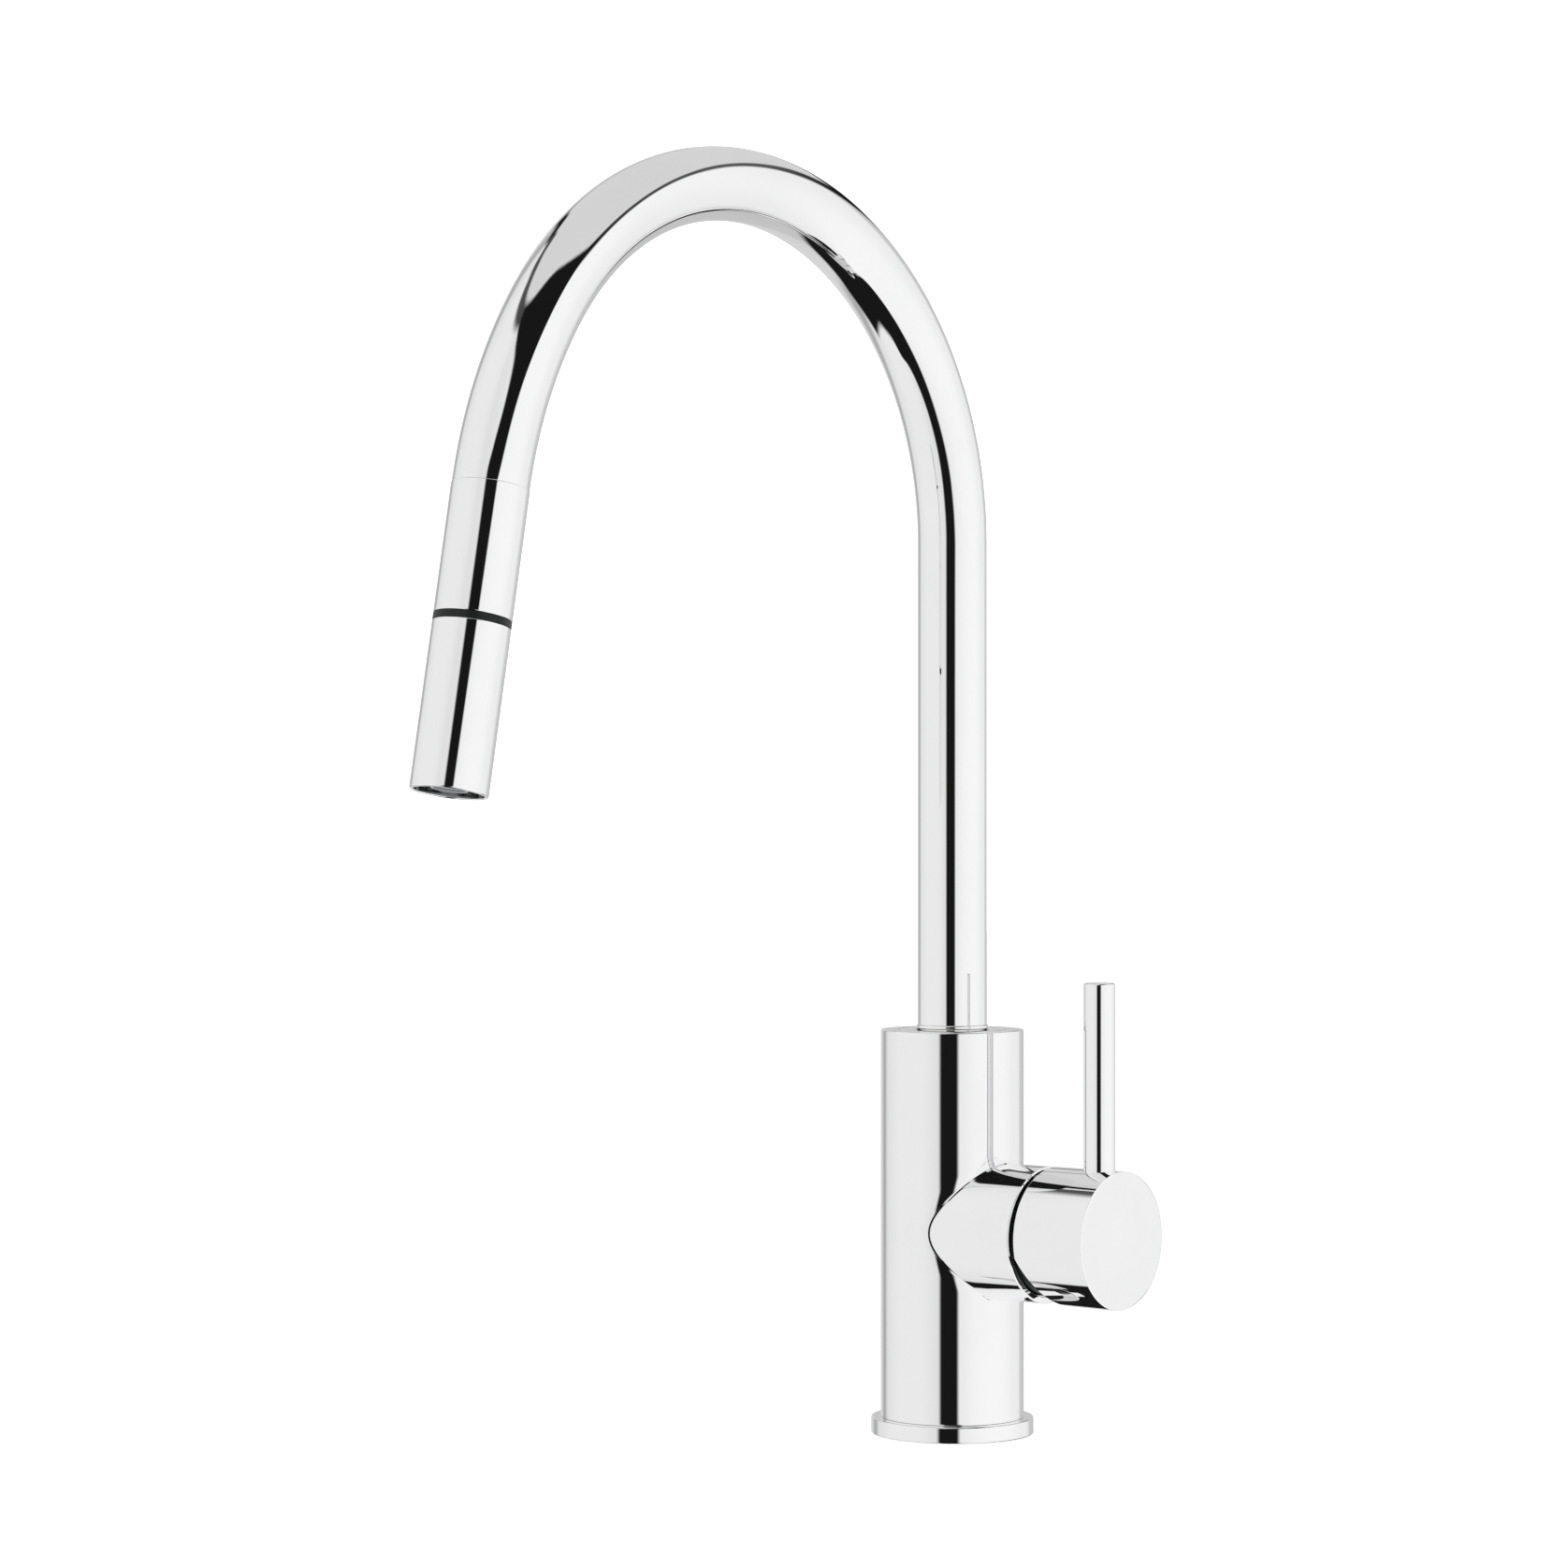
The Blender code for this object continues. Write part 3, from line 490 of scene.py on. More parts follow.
def saddle(turn):
    """The shallow groove where the boss at this turn runs out of the body: its edge on the
    body as (turn, height), its three points from there to the boss, and its two walls'
    normals."""
    body_turn = math.asin(BARREL_R * math.sin(turn) / BODY_R)
    drop = -BARREL_R * math.cos(turn)
    corner = body_point(body_turn, VALVE_Z + drop)
    on_body = body_normal(body_turn)
    on_boss = boss_normal(turn)
    line = on_body.cross(on_boss).normalized()
    away = on_body.cross(line)
    out = on_boss.cross(line)
    if away.dot(on_boss) < 0:
        away.negate()
    if out.dot(on_body) < 0:
        out.negate()
    round_body = Vector((-math.sin(body_turn), math.cos(body_turn), 0))
    round_boss = Vector((0, math.cos(turn), math.sin(turn)))
    edge = (body_turn + SADDLE_WIDTH * away.dot(round_body) / BODY_R,
            drop + SADDLE_WIDTH * away.z)
    end_turn = turn + SADDLE_WIDTH * out.dot(round_boss) / BARREL_R
    depth = SADDLE_DEPTH + HOLLOW_DEPTH
    points = [hollow(edge, edge)[0],
              corner - (on_body + on_boss).normalized() * depth,
              boss_point(end_turn, corner.x + SADDLE_WIDTH * out.x)]
    walls = []
    for start, end, outward in zip(points, points[1:], (on_body, on_boss)):
        normal = (end - start).cross(line).normalized()
        walls.append(normal if normal.dot(outward) > 0 else -normal)
    return edge, points, walls


def make_body_shell():
    skin = Skin()
    low = VALVE_Z - PATCH_HALF_HEIGHT
    high = VALVE_Z + PATCH_HALF_HEIGHT
    skin.turn([
        (BODY_R, low, 0), (BODY_R, BODY_BOTTOM, SEAM_ROUNDING), (CAVITY_R, BODY_BOTTOM, 0),
        (CAVITY_R, CAVITY_TOP, 0), (HOSE_CHANNEL_R, CAVITY_TOP, 0),
        (HOSE_CHANNEL_R, SOCKET_FLOOR, 0), (SOCKET_R, SOCKET_FLOOR, 0),
        (SOCKET_R, SOCKET_TOP, 0), (GLAND_R, SOCKET_TOP, 0), (GLAND_R, BODY_TOP, 0.2 * MM),
        (BODY_R, BODY_TOP, EDGE), (BODY_R, high, 0)], closed=False)

    back = [math.pi / 2 + math.pi * i / (2 * PATCH_HALF_COLUMNS)
            for i in range(2 * PATCH_HALF_COLUMNS + 1)]
    heights = [high - 2 * PATCH_HALF_HEIGHT * i / PATCH_ROWS for i in range(PATCH_ROWS + 1)]
    skin.grid([[body_point(turn, height) for turn in back] for height in heights],
              [[body_normal(turn) for turn in back] for _ in heights])

    border = patch_border()
    turns = [math.atan2(BODY_R * turn, -height) % math.tau for turn, height in border]
    turns[-1] = math.tau
    saddles = [saddle(turn) for turn in turns]
    steps = [(i / PATCH_RINGS) ** PATCH_CROWDING for i in range(PATCH_RINGS, -1, -1)]
    wall = [[hollow((edge[0] + (turn - edge[0]) * s, edge[1] + (height - edge[1]) * s), edge)
             for s in steps] for (turn, height), (edge, _, _) in zip(border, saddles)]
    skin.grid([[point for point, _ in line] for line in wall],
              [[normal for _, normal in line] for line in wall])
    for side in (0, 1):
        skin.grid([points[side:side + 2] for _, points, _ in saddles],
                  [[walls[side]] * 2 for _, _, walls in saddles])
    skin.grid([[points[-1], boss_point(turn, BOSS_WALL_START)]
               for turn, (_, points, _) in zip(turns, saddles)],
              [[boss_normal(turn)] * 2 for turn in turns])
    skin.turn([
        (0, CHAMBER_FLOOR, 0), (CHAMBER_R, CHAMBER_FLOOR, 0), (CHAMBER_R, COVER_SEAT, 0),
        (COVER_BORE_R, COVER_SEAT, 0), (COVER_BORE_R, BOSS_END, 0.2 * MM),
        *chamfer(BOSS_END), (BARREL_R, BOSS_WALL_START, 0)],
        ALONG_BARREL, angles=turns, closed=False)
    settle(skin.piece("body_casting"), "body", "chrome", "body_shell")


def chamfer(end):
    """The two corners of the small chamfer round the end of the barrel."""
    return [(BARREL_R - CHAMFER_DEPTH, end, CHAMFER_ROUNDING),
            (BARREL_R, end - CHAMFER_LENGTH, CHAMFER_ROUNDING)]


GROOVE_R = 25.8 * MM  # the seal's groove in the flange's underside
GROOVE_BORE_R = 20.7 * MM
GROOVE_DEPTH = 1.8 * MM


def make_base():
    spigot_r = CAVITY_R - GAP
    ring = turned("base_flange", [
        (spigot_r, SPIGOT_TOP, 0), (spigot_r, FLANGE_H, 0), (FLANGE_R, FLANGE_H, EDGE),
        (FLANGE_R, 0, SMALL_EDGE), (GROOVE_R, 0, 0), (GROOVE_R, GROOVE_DEPTH, 0),
        (GROOVE_BORE_R, GROOVE_DEPTH, 0), (GROOVE_BORE_R, 0, 0), (BASE_BORE_R, 0, 0),
        (BASE_BORE_R, SPIGOT_TOP, 0)])
    settle(ring, "body", "chrome", "base_ring")
    gasket = turned("base_seal", sleeve(GROOVE_R - GAP, GROOVE_BORE_R + GAP,
                                        GROOVE_DEPTH - GAP, 0, SMALL_EDGE, SMALL_EDGE))
    settle(gasket, "body", "rubber", "base_gasket")


def make_gland():
    nut = turned("gland_ring", sleeve(GLAND_R - GAP, COLLAR_R + GAP, BODY_TOP,
                                      SOCKET_TOP + GAP, SMALL_EDGE, 0.2 * MM))
    settle(nut, "body", "chrome", "gland_nut")


COVER_WALL = 1.2 * MM
COVER_MOUTH_R = 11.0 * MM  # the hole for the cartridge's stem
COVER_STEPS = 24


def make_cover():
    """The dark cover between boss and cap, part of a ball about the handle's pivot."""
    start = COVER_SEAT + GAP
    heights = [COVER_END - (COVER_END - start) * i / COVER_STEPS
               for i in range(COVER_STEPS + 1)]
    outer = [(math.sqrt(COVER_BALL_R ** 2 - (h - PIVOT.x) ** 2), h) for h in heights]
    under = COVER_END - COVER_WALL
    inner = [(radius - COVER_WALL, min(h, under)) for radius, h in reversed(outer)]
    mouth = [(COVER_MOUTH_R, under), (COVER_MOUTH_R, COVER_END)]
    skin = Skin()
    skin.turn([(radius, h, 0) for radius, h in outer + inner[:-2] + mouth], ALONG_BARREL)
    cover = skin.piece("ball_cover")
    soften(cover)
    settle(cover, "body", "black_plastic", "cartridge_cover")


def soften(obj):
    """Smooth shading with only the sharp edges split, for a shape with no exact normals."""
    obj.data.normals_split_custom_set([(0, 0, 0)] * len(obj.data.loops))
    obj.data.set_sharp_from_angle(angle=SHARP_ANGLE)


# ---------------------------------------------------------------- handle

RELIEF_DROP = 5.5 * MM  # from the axis down to where the slanted relief starts
RELIEF_RISE = 8.5 * MM  # the relief's slant, as a rise over a run
RELIEF_RUN = 18.0 * MM
RELIEF_SIZE = 40.0 * MM
RELIEF_WIDTH = 60.0 * MM
LEVER_CLEARANCE = 0.06 * MM
LEVER_TIP_EDGE = 0.6 * MM
CAP_BEVEL = 0.22 * MM
CAP_BEVEL_ANGLE = math.radians(35)
CAP_SHARP_ANGLE = math.radians(32)
ON_BARREL = 0.004 * MM  # how far a point may be from the barrel's true radius
SCREW_X = 60.0 * MM
SCREW_R = 2.0 * MM
SCREW_LENGTH = 8.0 * MM
HEX_R = 1.1 * MM
HEX_DEPTH = 3.0 * MM
CUT_LENGTH = 5.0 * MM  # that a cutter reaches past the barrel


def cut(obj, other):
    """Takes the other object's shape out of this one."""
    modifier = obj.modifiers.new("Cut", "BOOLEAN")
    modifier.operation = "DIFFERENCE"
    modifier.solver = "EXACT"
    modifier.object = other
    apply_modifiers(obj)
    bpy.data.objects.remove(other, do_unlink=True)


def apply_modifiers(obj):
    graph = bpy.context.evaluated_depsgraph_get()
    graph.update()
    mesh = bpy.data.meshes.new_from_object(obj.evaluated_get(graph))
    old = obj.data
    obj.modifiers.clear()
    obj.data = mesh
    bpy.data.meshes.remove(old)


def round_edges(obj):
    bevel = obj.modifiers.new("Edges", "BEVEL")
    bevel.width = CAP_BEVEL
    bevel.segments = 3
    bevel.limit_method = "ANGLE"
    bevel.angle_limit = CAP_BEVEL_ANGLE
    apply_modifiers(obj)


def restore_barrel(obj, matrix, radius):
    """Gives the true normals back to the faces on a cylinder about the matrix's Z axis."""
    mesh = obj.data
    mesh.shade_smooth()
    mesh.set_sharp_from_angle(angle=CAP_SHARP_ANGLE)
    inverse = matrix.inverted()
    turn = matrix.to_3x3()
    local = [inverse @ vertex.co for vertex in mesh.vertices]
    on_barrel = [abs(math.hypot(point.x, point.y) - radius) < ON_BARREL for point in local]
    normals = [Vector((0, 0, 0))] * len(mesh.loops)
    for polygon in mesh.polygons:
        if not all(on_barrel[v] for v in polygon.vertices):
            continue
        if abs((turn.inverted() @ polygon.normal).z) > 0.01:
            continue
        for loop in polygon.loop_indices:
            point = local[mesh.loops[loop].vertex_index]
            normals[loop] = turn @ Vector((point.x, point.y, 0)).normalized()
    mesh.normals_split_custom_set(normals)


def make_cap():
    skin = Skin()
    skin.turn([
        (0, CAP_END, 0), *chamfer(CAP_END), (BARREL_R, CAP_START, EDGE),
        (CAP_BORE_R, CAP_START, SMALL_EDGE), (CAP_BORE_R, CAP_BORE_END, 0.4 * MM),
        (STEM_R + GAP, CAP_BORE_END, 0), (STEM_R + GAP, STEM_END + GAP, 0),
        (0, STEM_END + GAP, 0)], ALONG_BARREL)
    cap = skin.piece("handle_hub")
    cut(cap, relief_block())
    for name, x, radius, top, bottom in (
            ("lever_hole", LEVER_X, LEVER_R + LEVER_CLEARANCE, LEVER_TOP, LEVER_SEAT - GAP),
            ("screw_hole", SCREW_X, SCREW_R + GAP, VALVE_Z, VALVE_Z - BARREL_R - CUT_LENGTH)):
        cut(cap, turned(name, [(0, top, 0), (radius, top, 0), (radius, bottom, 0),
                               (0, bottom, 0)], Matrix.Translation((x, 0, 0)), SMALL))
    round_edges(cap)
    restore_barrel(cap, ALONG_BARREL, BARREL_R)
    settle(cap, "handle", "chrome", "handle_cap")


def relief_block():
    """The block that cuts the slanted relief under the cap."""
    turn = Matrix.Rotation(-math.atan2(RELIEF_RISE, RELIEF_RUN), 4, "Y")
    corner = Vector((CAP_START, 0, VALVE_Z - RELIEF_DROP))
    centre = corner + turn @ Vector((-RELIEF_SIZE / 2, 0, -RELIEF_SIZE / 2))
    block = bmesh.new()
    bmesh.ops.create_cube(block, size=1.0, matrix=Matrix.Translation(centre) @ turn
                          @ Matrix.Diagonal((RELIEF_SIZE, RELIEF_WIDTH, 2 * RELIEF_SIZE, 1)))
    mesh = bpy.data.meshes.new("relief")
    block.to_mesh(mesh)
    block.free()
    obj = bpy.data.objects.new("relief", mesh)
    bpy.context.scene.collection.objects.link(obj)
    return obj


def make_lever():
    lever = turned("lever_rod", [
        (0, LEVER_TOP, 0), (LEVER_R, LEVER_TOP, LEVER_TIP_EDGE), (LEVER_R, LEVER_SEAT, EDGE),
        (0, LEVER_SEAT, 0)], Matrix.Translation((LEVER_X, 0, 0)), MEDIUM)
    settle(lever, "handle", "chrome", "lever_pin")


def make_handle_screw():
    top = VALVE_Z - STEM_R - GAP
    bottom = top - SCREW_LENGTH
    place = Matrix.Translation((SCREW_X, 0, 0))
    screw = turned("grub_screw", [
        (0, top, 0), (SCREW_R, top, SMALL_EDGE), (SCREW_R, bottom, SMALL_EDGE),
        (0, bottom, 0)], place, SMALL)
    key_top = bottom + HEX_DEPTH
    key_bottom = bottom - CUT_LENGTH
    cut(screw, turned("hex_key", [
        (0, key_top, 0), (HEX_R, key_top, 0), (HEX_R, key_bottom, 0), (0, key_bottom, 0)],
        place, 6))
    screw.data.shade_smooth()
    screw.data.set_sharp_from_angle(angle=SHARP_ANGLE)
    settle(screw, "handle", "steel", "handle_screw")


# ---------------------------------------------------------------- spout

RISER_STEP = 8.0 * MM


def on_spout(turn):
    """(reach, height) of the spout's centre line where it has turned by this angle."""
    if turn <= BEND_TURN:
        return (BEND_R * (1 - math.cos(turn)), BEND_START + BEND_R * math.sin(turn))
    reach, height = on_spout(BEND_TURN)
    return (reach + TIP_BEND_R * (math.cos(BEND_TURN) - math.cos(turn)),
            height + TIP_BEND_R * (math.sin(turn) - math.sin(BEND_TURN)))


def spout_frames(start, last_turn=SPOUT_TURN, step=math.radians(1.0)):
    """(centre, direction) pairs up the spout, from a height in the straight to a turn."""
    rings = math.ceil((BEND_START - start) / RISER_STEP)
    frames = [(Vector((0, 0, start + (BEND_START - start) * i / rings)), Vector((0, 0, 1)))
              for i in range(rings)]
    count = math.ceil(last_turn / step)
    for i in range(count + 1):
        turn = last_turn * i / count
        reach, height = on_spout(turn)
        frames.append((Vector((0, -reach, height)),
                       Vector((0, -math.sin(turn), math.cos(turn)))))
    return frames


def sweep(skin, frames, radius, sides, inward=False):
    """A tube's wall round the frames."""
    sign = -1 if inward else 1
    turns = [sign * math.tau * i / sides for i in range(sides + 1)]
    points = []
    normals = []
    side = Vector((1, 0, 0))
    for centre, direction in reversed(frames):
        front = direction.cross(side)
        ring = [side * math.cos(turn) + front * math.sin(turn) for turn in turns]
        points.append([centre + out * radius for out in ring])
        normals.append([out * sign for out in ring])
    skin.grid(points, normals)


def make_spout_tube():
    """The bent tube: its wall and bore are swept, and its two ends are turned."""
    skin = Skin()
    lip = SEAM_ROUNDING
    foot_top = COLLAR_TOP + SEAM_GAP
    frames = spout_frames(foot_top)[:-1] + [(SEAM - HEAD_LINE * lip, HEAD_LINE)]
    sweep(skin, frames, TUBE_R, MEDIUM)
    sweep(skin, spout_frames(TUBE_START), TUBE_BORE_R, MEDIUM, inward=True)
    skin.turn([(TUBE_R, foot_top, 0), (TUBE_FOOT_R, foot_top, 0), (TUBE_FOOT_R, TUBE_START, 0),
               (TUBE_BORE_R, TUBE_START, 0)], sides=MEDIUM, closed=False)
    skin.turn([(TUBE_R, lip, 0), (TUBE_R, 0, lip), (TUBE_BORE_R, 0, 0)],
              ALONG_HEAD, MEDIUM, closed=False)
    tube = skin.piece("spout_arch")
    settle(tube, "spout", "chrome", "spout_tube")


def make_collar():
    collar = turned("foot_collar", sleeve(COLLAR_R, TUBE_FOOT_R + GAP, COLLAR_TOP,
                                          BODY_TOP + GAP, 0.4 * MM), UPRIGHT, MEDIUM)
    settle(collar, "spout", "chrome", "spout_collar")


DOCK_R = 9.3 * MM
DOCK_RIM_R = 9.9 * MM
DOCK_RIM = (2.2 * MM, 0.2 * MM)  # its top and bottom, above the seam
DOCK_TOP = 14.0 * MM
DOCK_BORE_R = 7.9 * MM
DOCK_LEAD = 0.8 * MM  # the rounding that guides the nut in


def make_dock():
    """The plastic sleeve in the spout's end that the head's nut slides into."""
    rim_top, rim_bottom = DOCK_RIM
    dock = turned("dock_sleeve", [
        (DOCK_R, DOCK_TOP, 0.4 * MM), (DOCK_R, rim_top, 0), (DOCK_RIM_R, rim_top, 0),
        (DOCK_RIM_R, rim_bottom, SMALL_EDGE), (DOCK_BORE_R, rim_bottom, DOCK_LEAD),
        (DOCK_BORE_R, DOCK_TOP, DOCK_LEAD)], ALONG_HEAD, MEDIUM)
    settle(dock, "spout", "white_plastic", "dock_insert")


# ---------------------------------------------------------------- hose

HOSE_SIDES = 48
YARN_PAIRS = 14  # yarns of one direction round the hose
STRETCH_START = 36.0 * MM  # above the seam, where the drawn hose leaves the tube's bend
STRETCH_STEPS = 110


def make_hose():
    """The braided hose: the run that stays inside the spout, and the stretch above the head's
    nut, which is drawn out in use. The stretch is closely woven at rest, so that its weave
    is evenly spaced when the head is pulled out."""
    last_turn = SPOUT_TURN - STRETCH_START / TIP_BEND_R
    run = spout_frames(HOSE_START, last_turn)
    start, line = run.pop()
    end = SEAM - HEAD_LINE * (NECK_HEIGHT + GAP)
    direction = line.lerp(HEAD_LINE, 0.5).normalized()
    stretch = [(start.lerp(end, i / STRETCH_STEPS), direction)
               for i in range(STRETCH_STEPS + 1)]
    settle(hose_piece("braided_hose", run, 0.0), "spout", "braid", "pull_hose")
    drawn = hose_piece("hose_stretch", stretch, HEAD_PULL)
    drawn.data.materials.append(MATERIALS["braid"])
    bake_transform(drawn)
    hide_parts("hose_tail")


def hose_piece(name, frames, pull):
    """A length of hose with its weave's map; pull is how much longer it gets in use."""
    skin = Skin()
    sweep(skin, frames, HOSE_R, HOSE_SIDES)
    hose = skin.piece(name)
    weave_map(hose, frames, pull)
    return hose


def weave_map(hose, frames, pull):
    """A UV map in yarns round the hose and in the same width along it, when drawn out."""
    along = [0.0]
    last = len(frames) - 1
    for i, ((here, _), (there, _)) in enumerate(zip(frames, frames[1:])):
        low, high = (share * share * (3 - 2 * share) for share in (i / last, (i + 1) / last))
        along.append(along[-1] + (there - here).length + pull * (high - low))
    yarn = math.tau * HOSE_R / (2 * YARN_PAIRS)
    uv = hose.data.uv_layers.new(name="weave")
    rows = len(frames)
    values = []
    for row in range(rows - 1):
        for column in range(HOSE_SIDES):
            for r, c in ((row, column), (row + 1, column), (row + 1, column + 1),
                         (row, column + 1)):
                values += [c * 2 * YARN_PAIRS / HOSE_SIDES, along[rows - 1 - r] / yarn]
    uv.data.foreach_set("uv", values)


# ---------------------------------------------------------------- spray head

# Heights along the head are below the seam, so they are negative

RING_R = HEAD_R - 0.05 * MM
RING_BORE_R = 9.6 * MM
RING_EDGE = 0.12 * MM
SHOULDER = -2.3 * MM  # the underside of the grip's top wall
SHOULDER_BORE_R = 7.8 * MM
NUT_R = 7.5 * MM
NUT_LEAD = 1.2 * MM  # the rounding that leads the nut into the dock
NUT_FLANGE = (-2.6 * MM, -5.0 * MM)
NUT_FLANGE_R = 10.3 * MM
NUT_BORE_R = 3.5 * MM
PLATE_R = 10.6 * MM
PLATE_BORE_R = 6.2 * MM
PLATE = (-88.4 * MM, -93.0 * MM)
JET_ROOT = -92.5 * MM  # inside the plate
JET_BASE = -93.2 * MM
JET_TIP = -94.3 * MM
JET_HOLE_END = -93.4 * MM
JET_BASE_R = 1.05 * MM
JET_TIP_R = 0.75 * MM
JET_HOLE_R = 0.35 * MM
AERATOR_R = 5.9 * MM
AERATOR_BORE_R = 5.0 * MM
AERATOR = (-70.0 * MM, -94.5 * MM)
AERATOR_FLOOR = -91.0 * MM
MESH_HEIGHT = -92.2 * MM
MESH_WIRES = 9
MESH_PITCH = 1.0 * MM
WIRE_R = 0.14 * MM
WIRE_LIFT = 0.24 * MM  # of one layer of wires over the other
FINE_EDGE = 0.2 * MM


def make_head():
    flange_top, flange_bottom = NUT_FLANGE
    grip = turned("grip_sleeve", [
        (HEAD_R, -SEAM_GAP, SEAM_ROUNDING), (HEAD_R, -GRIP_END, SMALL_EDGE),
        (HEAD_BORE_R, -GRIP_END, 0), (HEAD_BORE_R, SHOULDER, 0),
        (SHOULDER_BORE_R, SHOULDER, 0), (SHOULDER_BORE_R, -SEAM_GAP, FINE_EDGE)], ALONG_HEAD)
    settle(grip, "spray_head", "chrome", "grip_barrel")
    ring = turned("twist_ring", sleeve(RING_R, RING_BORE_R, -GRIP_END - GAP / 3, -RING_END,
                                       RING_EDGE), ALONG_HEAD)
    settle(ring, "spray_head", "black_plastic", "selector_ring")
    nut = turned("neck_nut", [
        (NUT_R, NECK_HEIGHT, NUT_LEAD), (NUT_R, flange_top, 0), (NUT_FLANGE_R, flange_top, 0),
        (NUT_FLANGE_R, flange_bottom, SMALL_EDGE), (NUT_BORE_R, flange_bottom, 0),
        (NUT_BORE_R, NECK_HEIGHT, 0.4 * MM)], ALONG_HEAD, MEDIUM)
    settle(nut, "spray_head", "brass", "hose_nut")


def make_nozzle():
    """The lower barrel and the plate with the ring of soft spray jets."""
    top = -RING_END - GAP / 3
    barrel = turned("spray_sleeve", [
        (HEAD_R, top, SMALL_EDGE), (HEAD_R, -HEAD_LENGTH, EDGE),
        (HEAD_BORE_R, -HEAD_LENGTH, 0.4 * MM), (HEAD_BORE_R, top, 0)], ALONG_HEAD)
    settle(barrel, "nozzle", "chrome", "nozzle_barrel")
    skin = Skin()
    skin.turn(sleeve(PLATE_R, PLATE_BORE_R, *PLATE, 0.4 * MM, SMALL_EDGE), ALONG_HEAD, MEDIUM)
    jet = [(0, JET_ROOT, 0), (JET_BASE_R, JET_ROOT, 0), (JET_BASE_R, JET_BASE, FINE_EDGE),
           (JET_TIP_R, JET_TIP, FINE_EDGE), (JET_HOLE_R, JET_TIP, 0.05 * MM),
           (0.3 * MM, JET_HOLE_END, 0), (0, JET_HOLE_END, 0)]
    for i in range(SPRAY_HOLES):
        turn = math.tau * i / SPRAY_HOLES
        place = Matrix.Translation((SPRAY_RING_R * math.cos(turn),
                                    SPRAY_RING_R * math.sin(turn), 0))
        skin.turn(jet, ALONG_HEAD @ place, 24)
    settle(skin.piece("jet_plate"), "nozzle", "black_plastic", "spray_face")


def make_aerator():
    """The aerator's sleeve and the square mesh across its mouth."""
    top, bottom = AERATOR
    skin = Skin()
    skin.turn([(0, top, 0), (AERATOR_R, top, SMALL_EDGE), (AERATOR_R, bottom, SMALL_EDGE),
               (AERATOR_BORE_R, bottom, FINE_EDGE), (AERATOR_BORE_R, AERATOR_FLOOR, 0),
               (0, AERATOR_FLOOR, 0)], ALONG_HEAD, MEDIUM)
    for i in range(MESH_WIRES):
        offset = (i - (MESH_WIRES - 1) / 2) * MESH_PITCH
        length = math.sqrt((AERATOR_BORE_R + 0.05 * MM) ** 2 - offset ** 2)
        wire = [(0, length, 0), (WIRE_R, length, 0), (WIRE_R, -length, 0), (0, -length, 0)]
        for turn, height in ((0, MESH_HEIGHT), (math.pi / 2, MESH_HEIGHT - WIRE_LIFT)):
            lie = (Matrix.Rotation(turn, 4, "Z") @ Matrix.Translation((offset, 0, height))
                   @ Matrix.Rotation(math.pi / 2, 4, "X"))
            skin.turn(wire, ALONG_HEAD @ lie, 8)
    settle(skin.piece("aerator_mesh"), "nozzle", "grey_plastic", "aerator")


# ---------------------------------------------------------------- studio

CAMERA_TURN = math.radians(40.6)  # the camera's azimuth, to the spout's left
CAMERA_DISTANCE = 1.42
CAMERA_SIDE = 0.0588
CAMERA_HEIGHT = 0.2163
CAMERA_REACH = 30.0
LENS_MM = 93.26
SHIFT_Y = 0.0183
FLOOR_R = 6.0
BACKDROP_HEIGHT = 5.0
SHADE_R = 100.0 * MM
SHADE_CENTRE = (-16.0 * MM, 76.0 * MM, -40.0 * MM)  # behind the body and below the floor
WHITE = (0.9, 0.9, 0.9)
NEAR_BLACK = (0.01, 0.01, 0.01)
FLOOR_GLOW = 0.6


def make_camera():
    view = Vector((-math.sin(CAMERA_TURN), math.cos(CAMERA_TURN), 0))
    right = Vector((math.cos(CAMERA_TURN), math.sin(CAMERA_TURN), 0))
    data = bpy.data.cameras.new("camera")
    data.lens = LENS_MM
    data.shift_y = SHIFT_Y
    data.clip_end = CAMERA_REACH
    camera = bpy.data.objects.new("camera", data)
    camera.location = -view * CAMERA_DISTANCE - right * CAMERA_SIDE + Vector((0, 0, CAMERA_HEIGHT))
    camera.rotation_euler = (math.pi / 2, 0, CAMERA_TURN)
    bpy.context.scene.collection.objects.link(camera)
    bpy.context.scene.camera = camera


def stage_piece(name, mesh, colour, glow):
    """Part of the plain white set: seen by the camera and lighting the object softly, but
    not mirrored in it, because the metal mirrors the softboxes of make_studio_light().
    make_shade() also uses it for a dark disc of painted shade, and then changes which
    rays see it."""
    nodes = Nodes(name, colour, roughness=0.9)
    nodes.colour(nodes.noise(6.0), colour, [1.03 * channel for channel in colour])
    nodes.shader.inputs["Specular IOR Level"].default_value = 0.0
    nodes.shader.inputs["Emission Color"].default_value = (1.0, 1.0, 1.0, 1.0)
    nodes.shader.inputs["Emission Strength"].default_value = glow
    mesh.materials.append(nodes.material)
    obj = bpy.data.objects.new(name, mesh)
    obj.visible_glossy = False
    bpy.context.scene.collection.objects.link(obj)
    return obj


def make_floor():
    shape = bmesh.new()
    bmesh.ops.create_circle(shape, cap_ends=True, radius=FLOOR_R, segments=FINE)
    mesh = bpy.data.meshes.new("floor")
    shape.to_mesh(mesh)
    shape.free()
    stage_piece("floor", mesh, WHITE, FLOOR_GLOW)


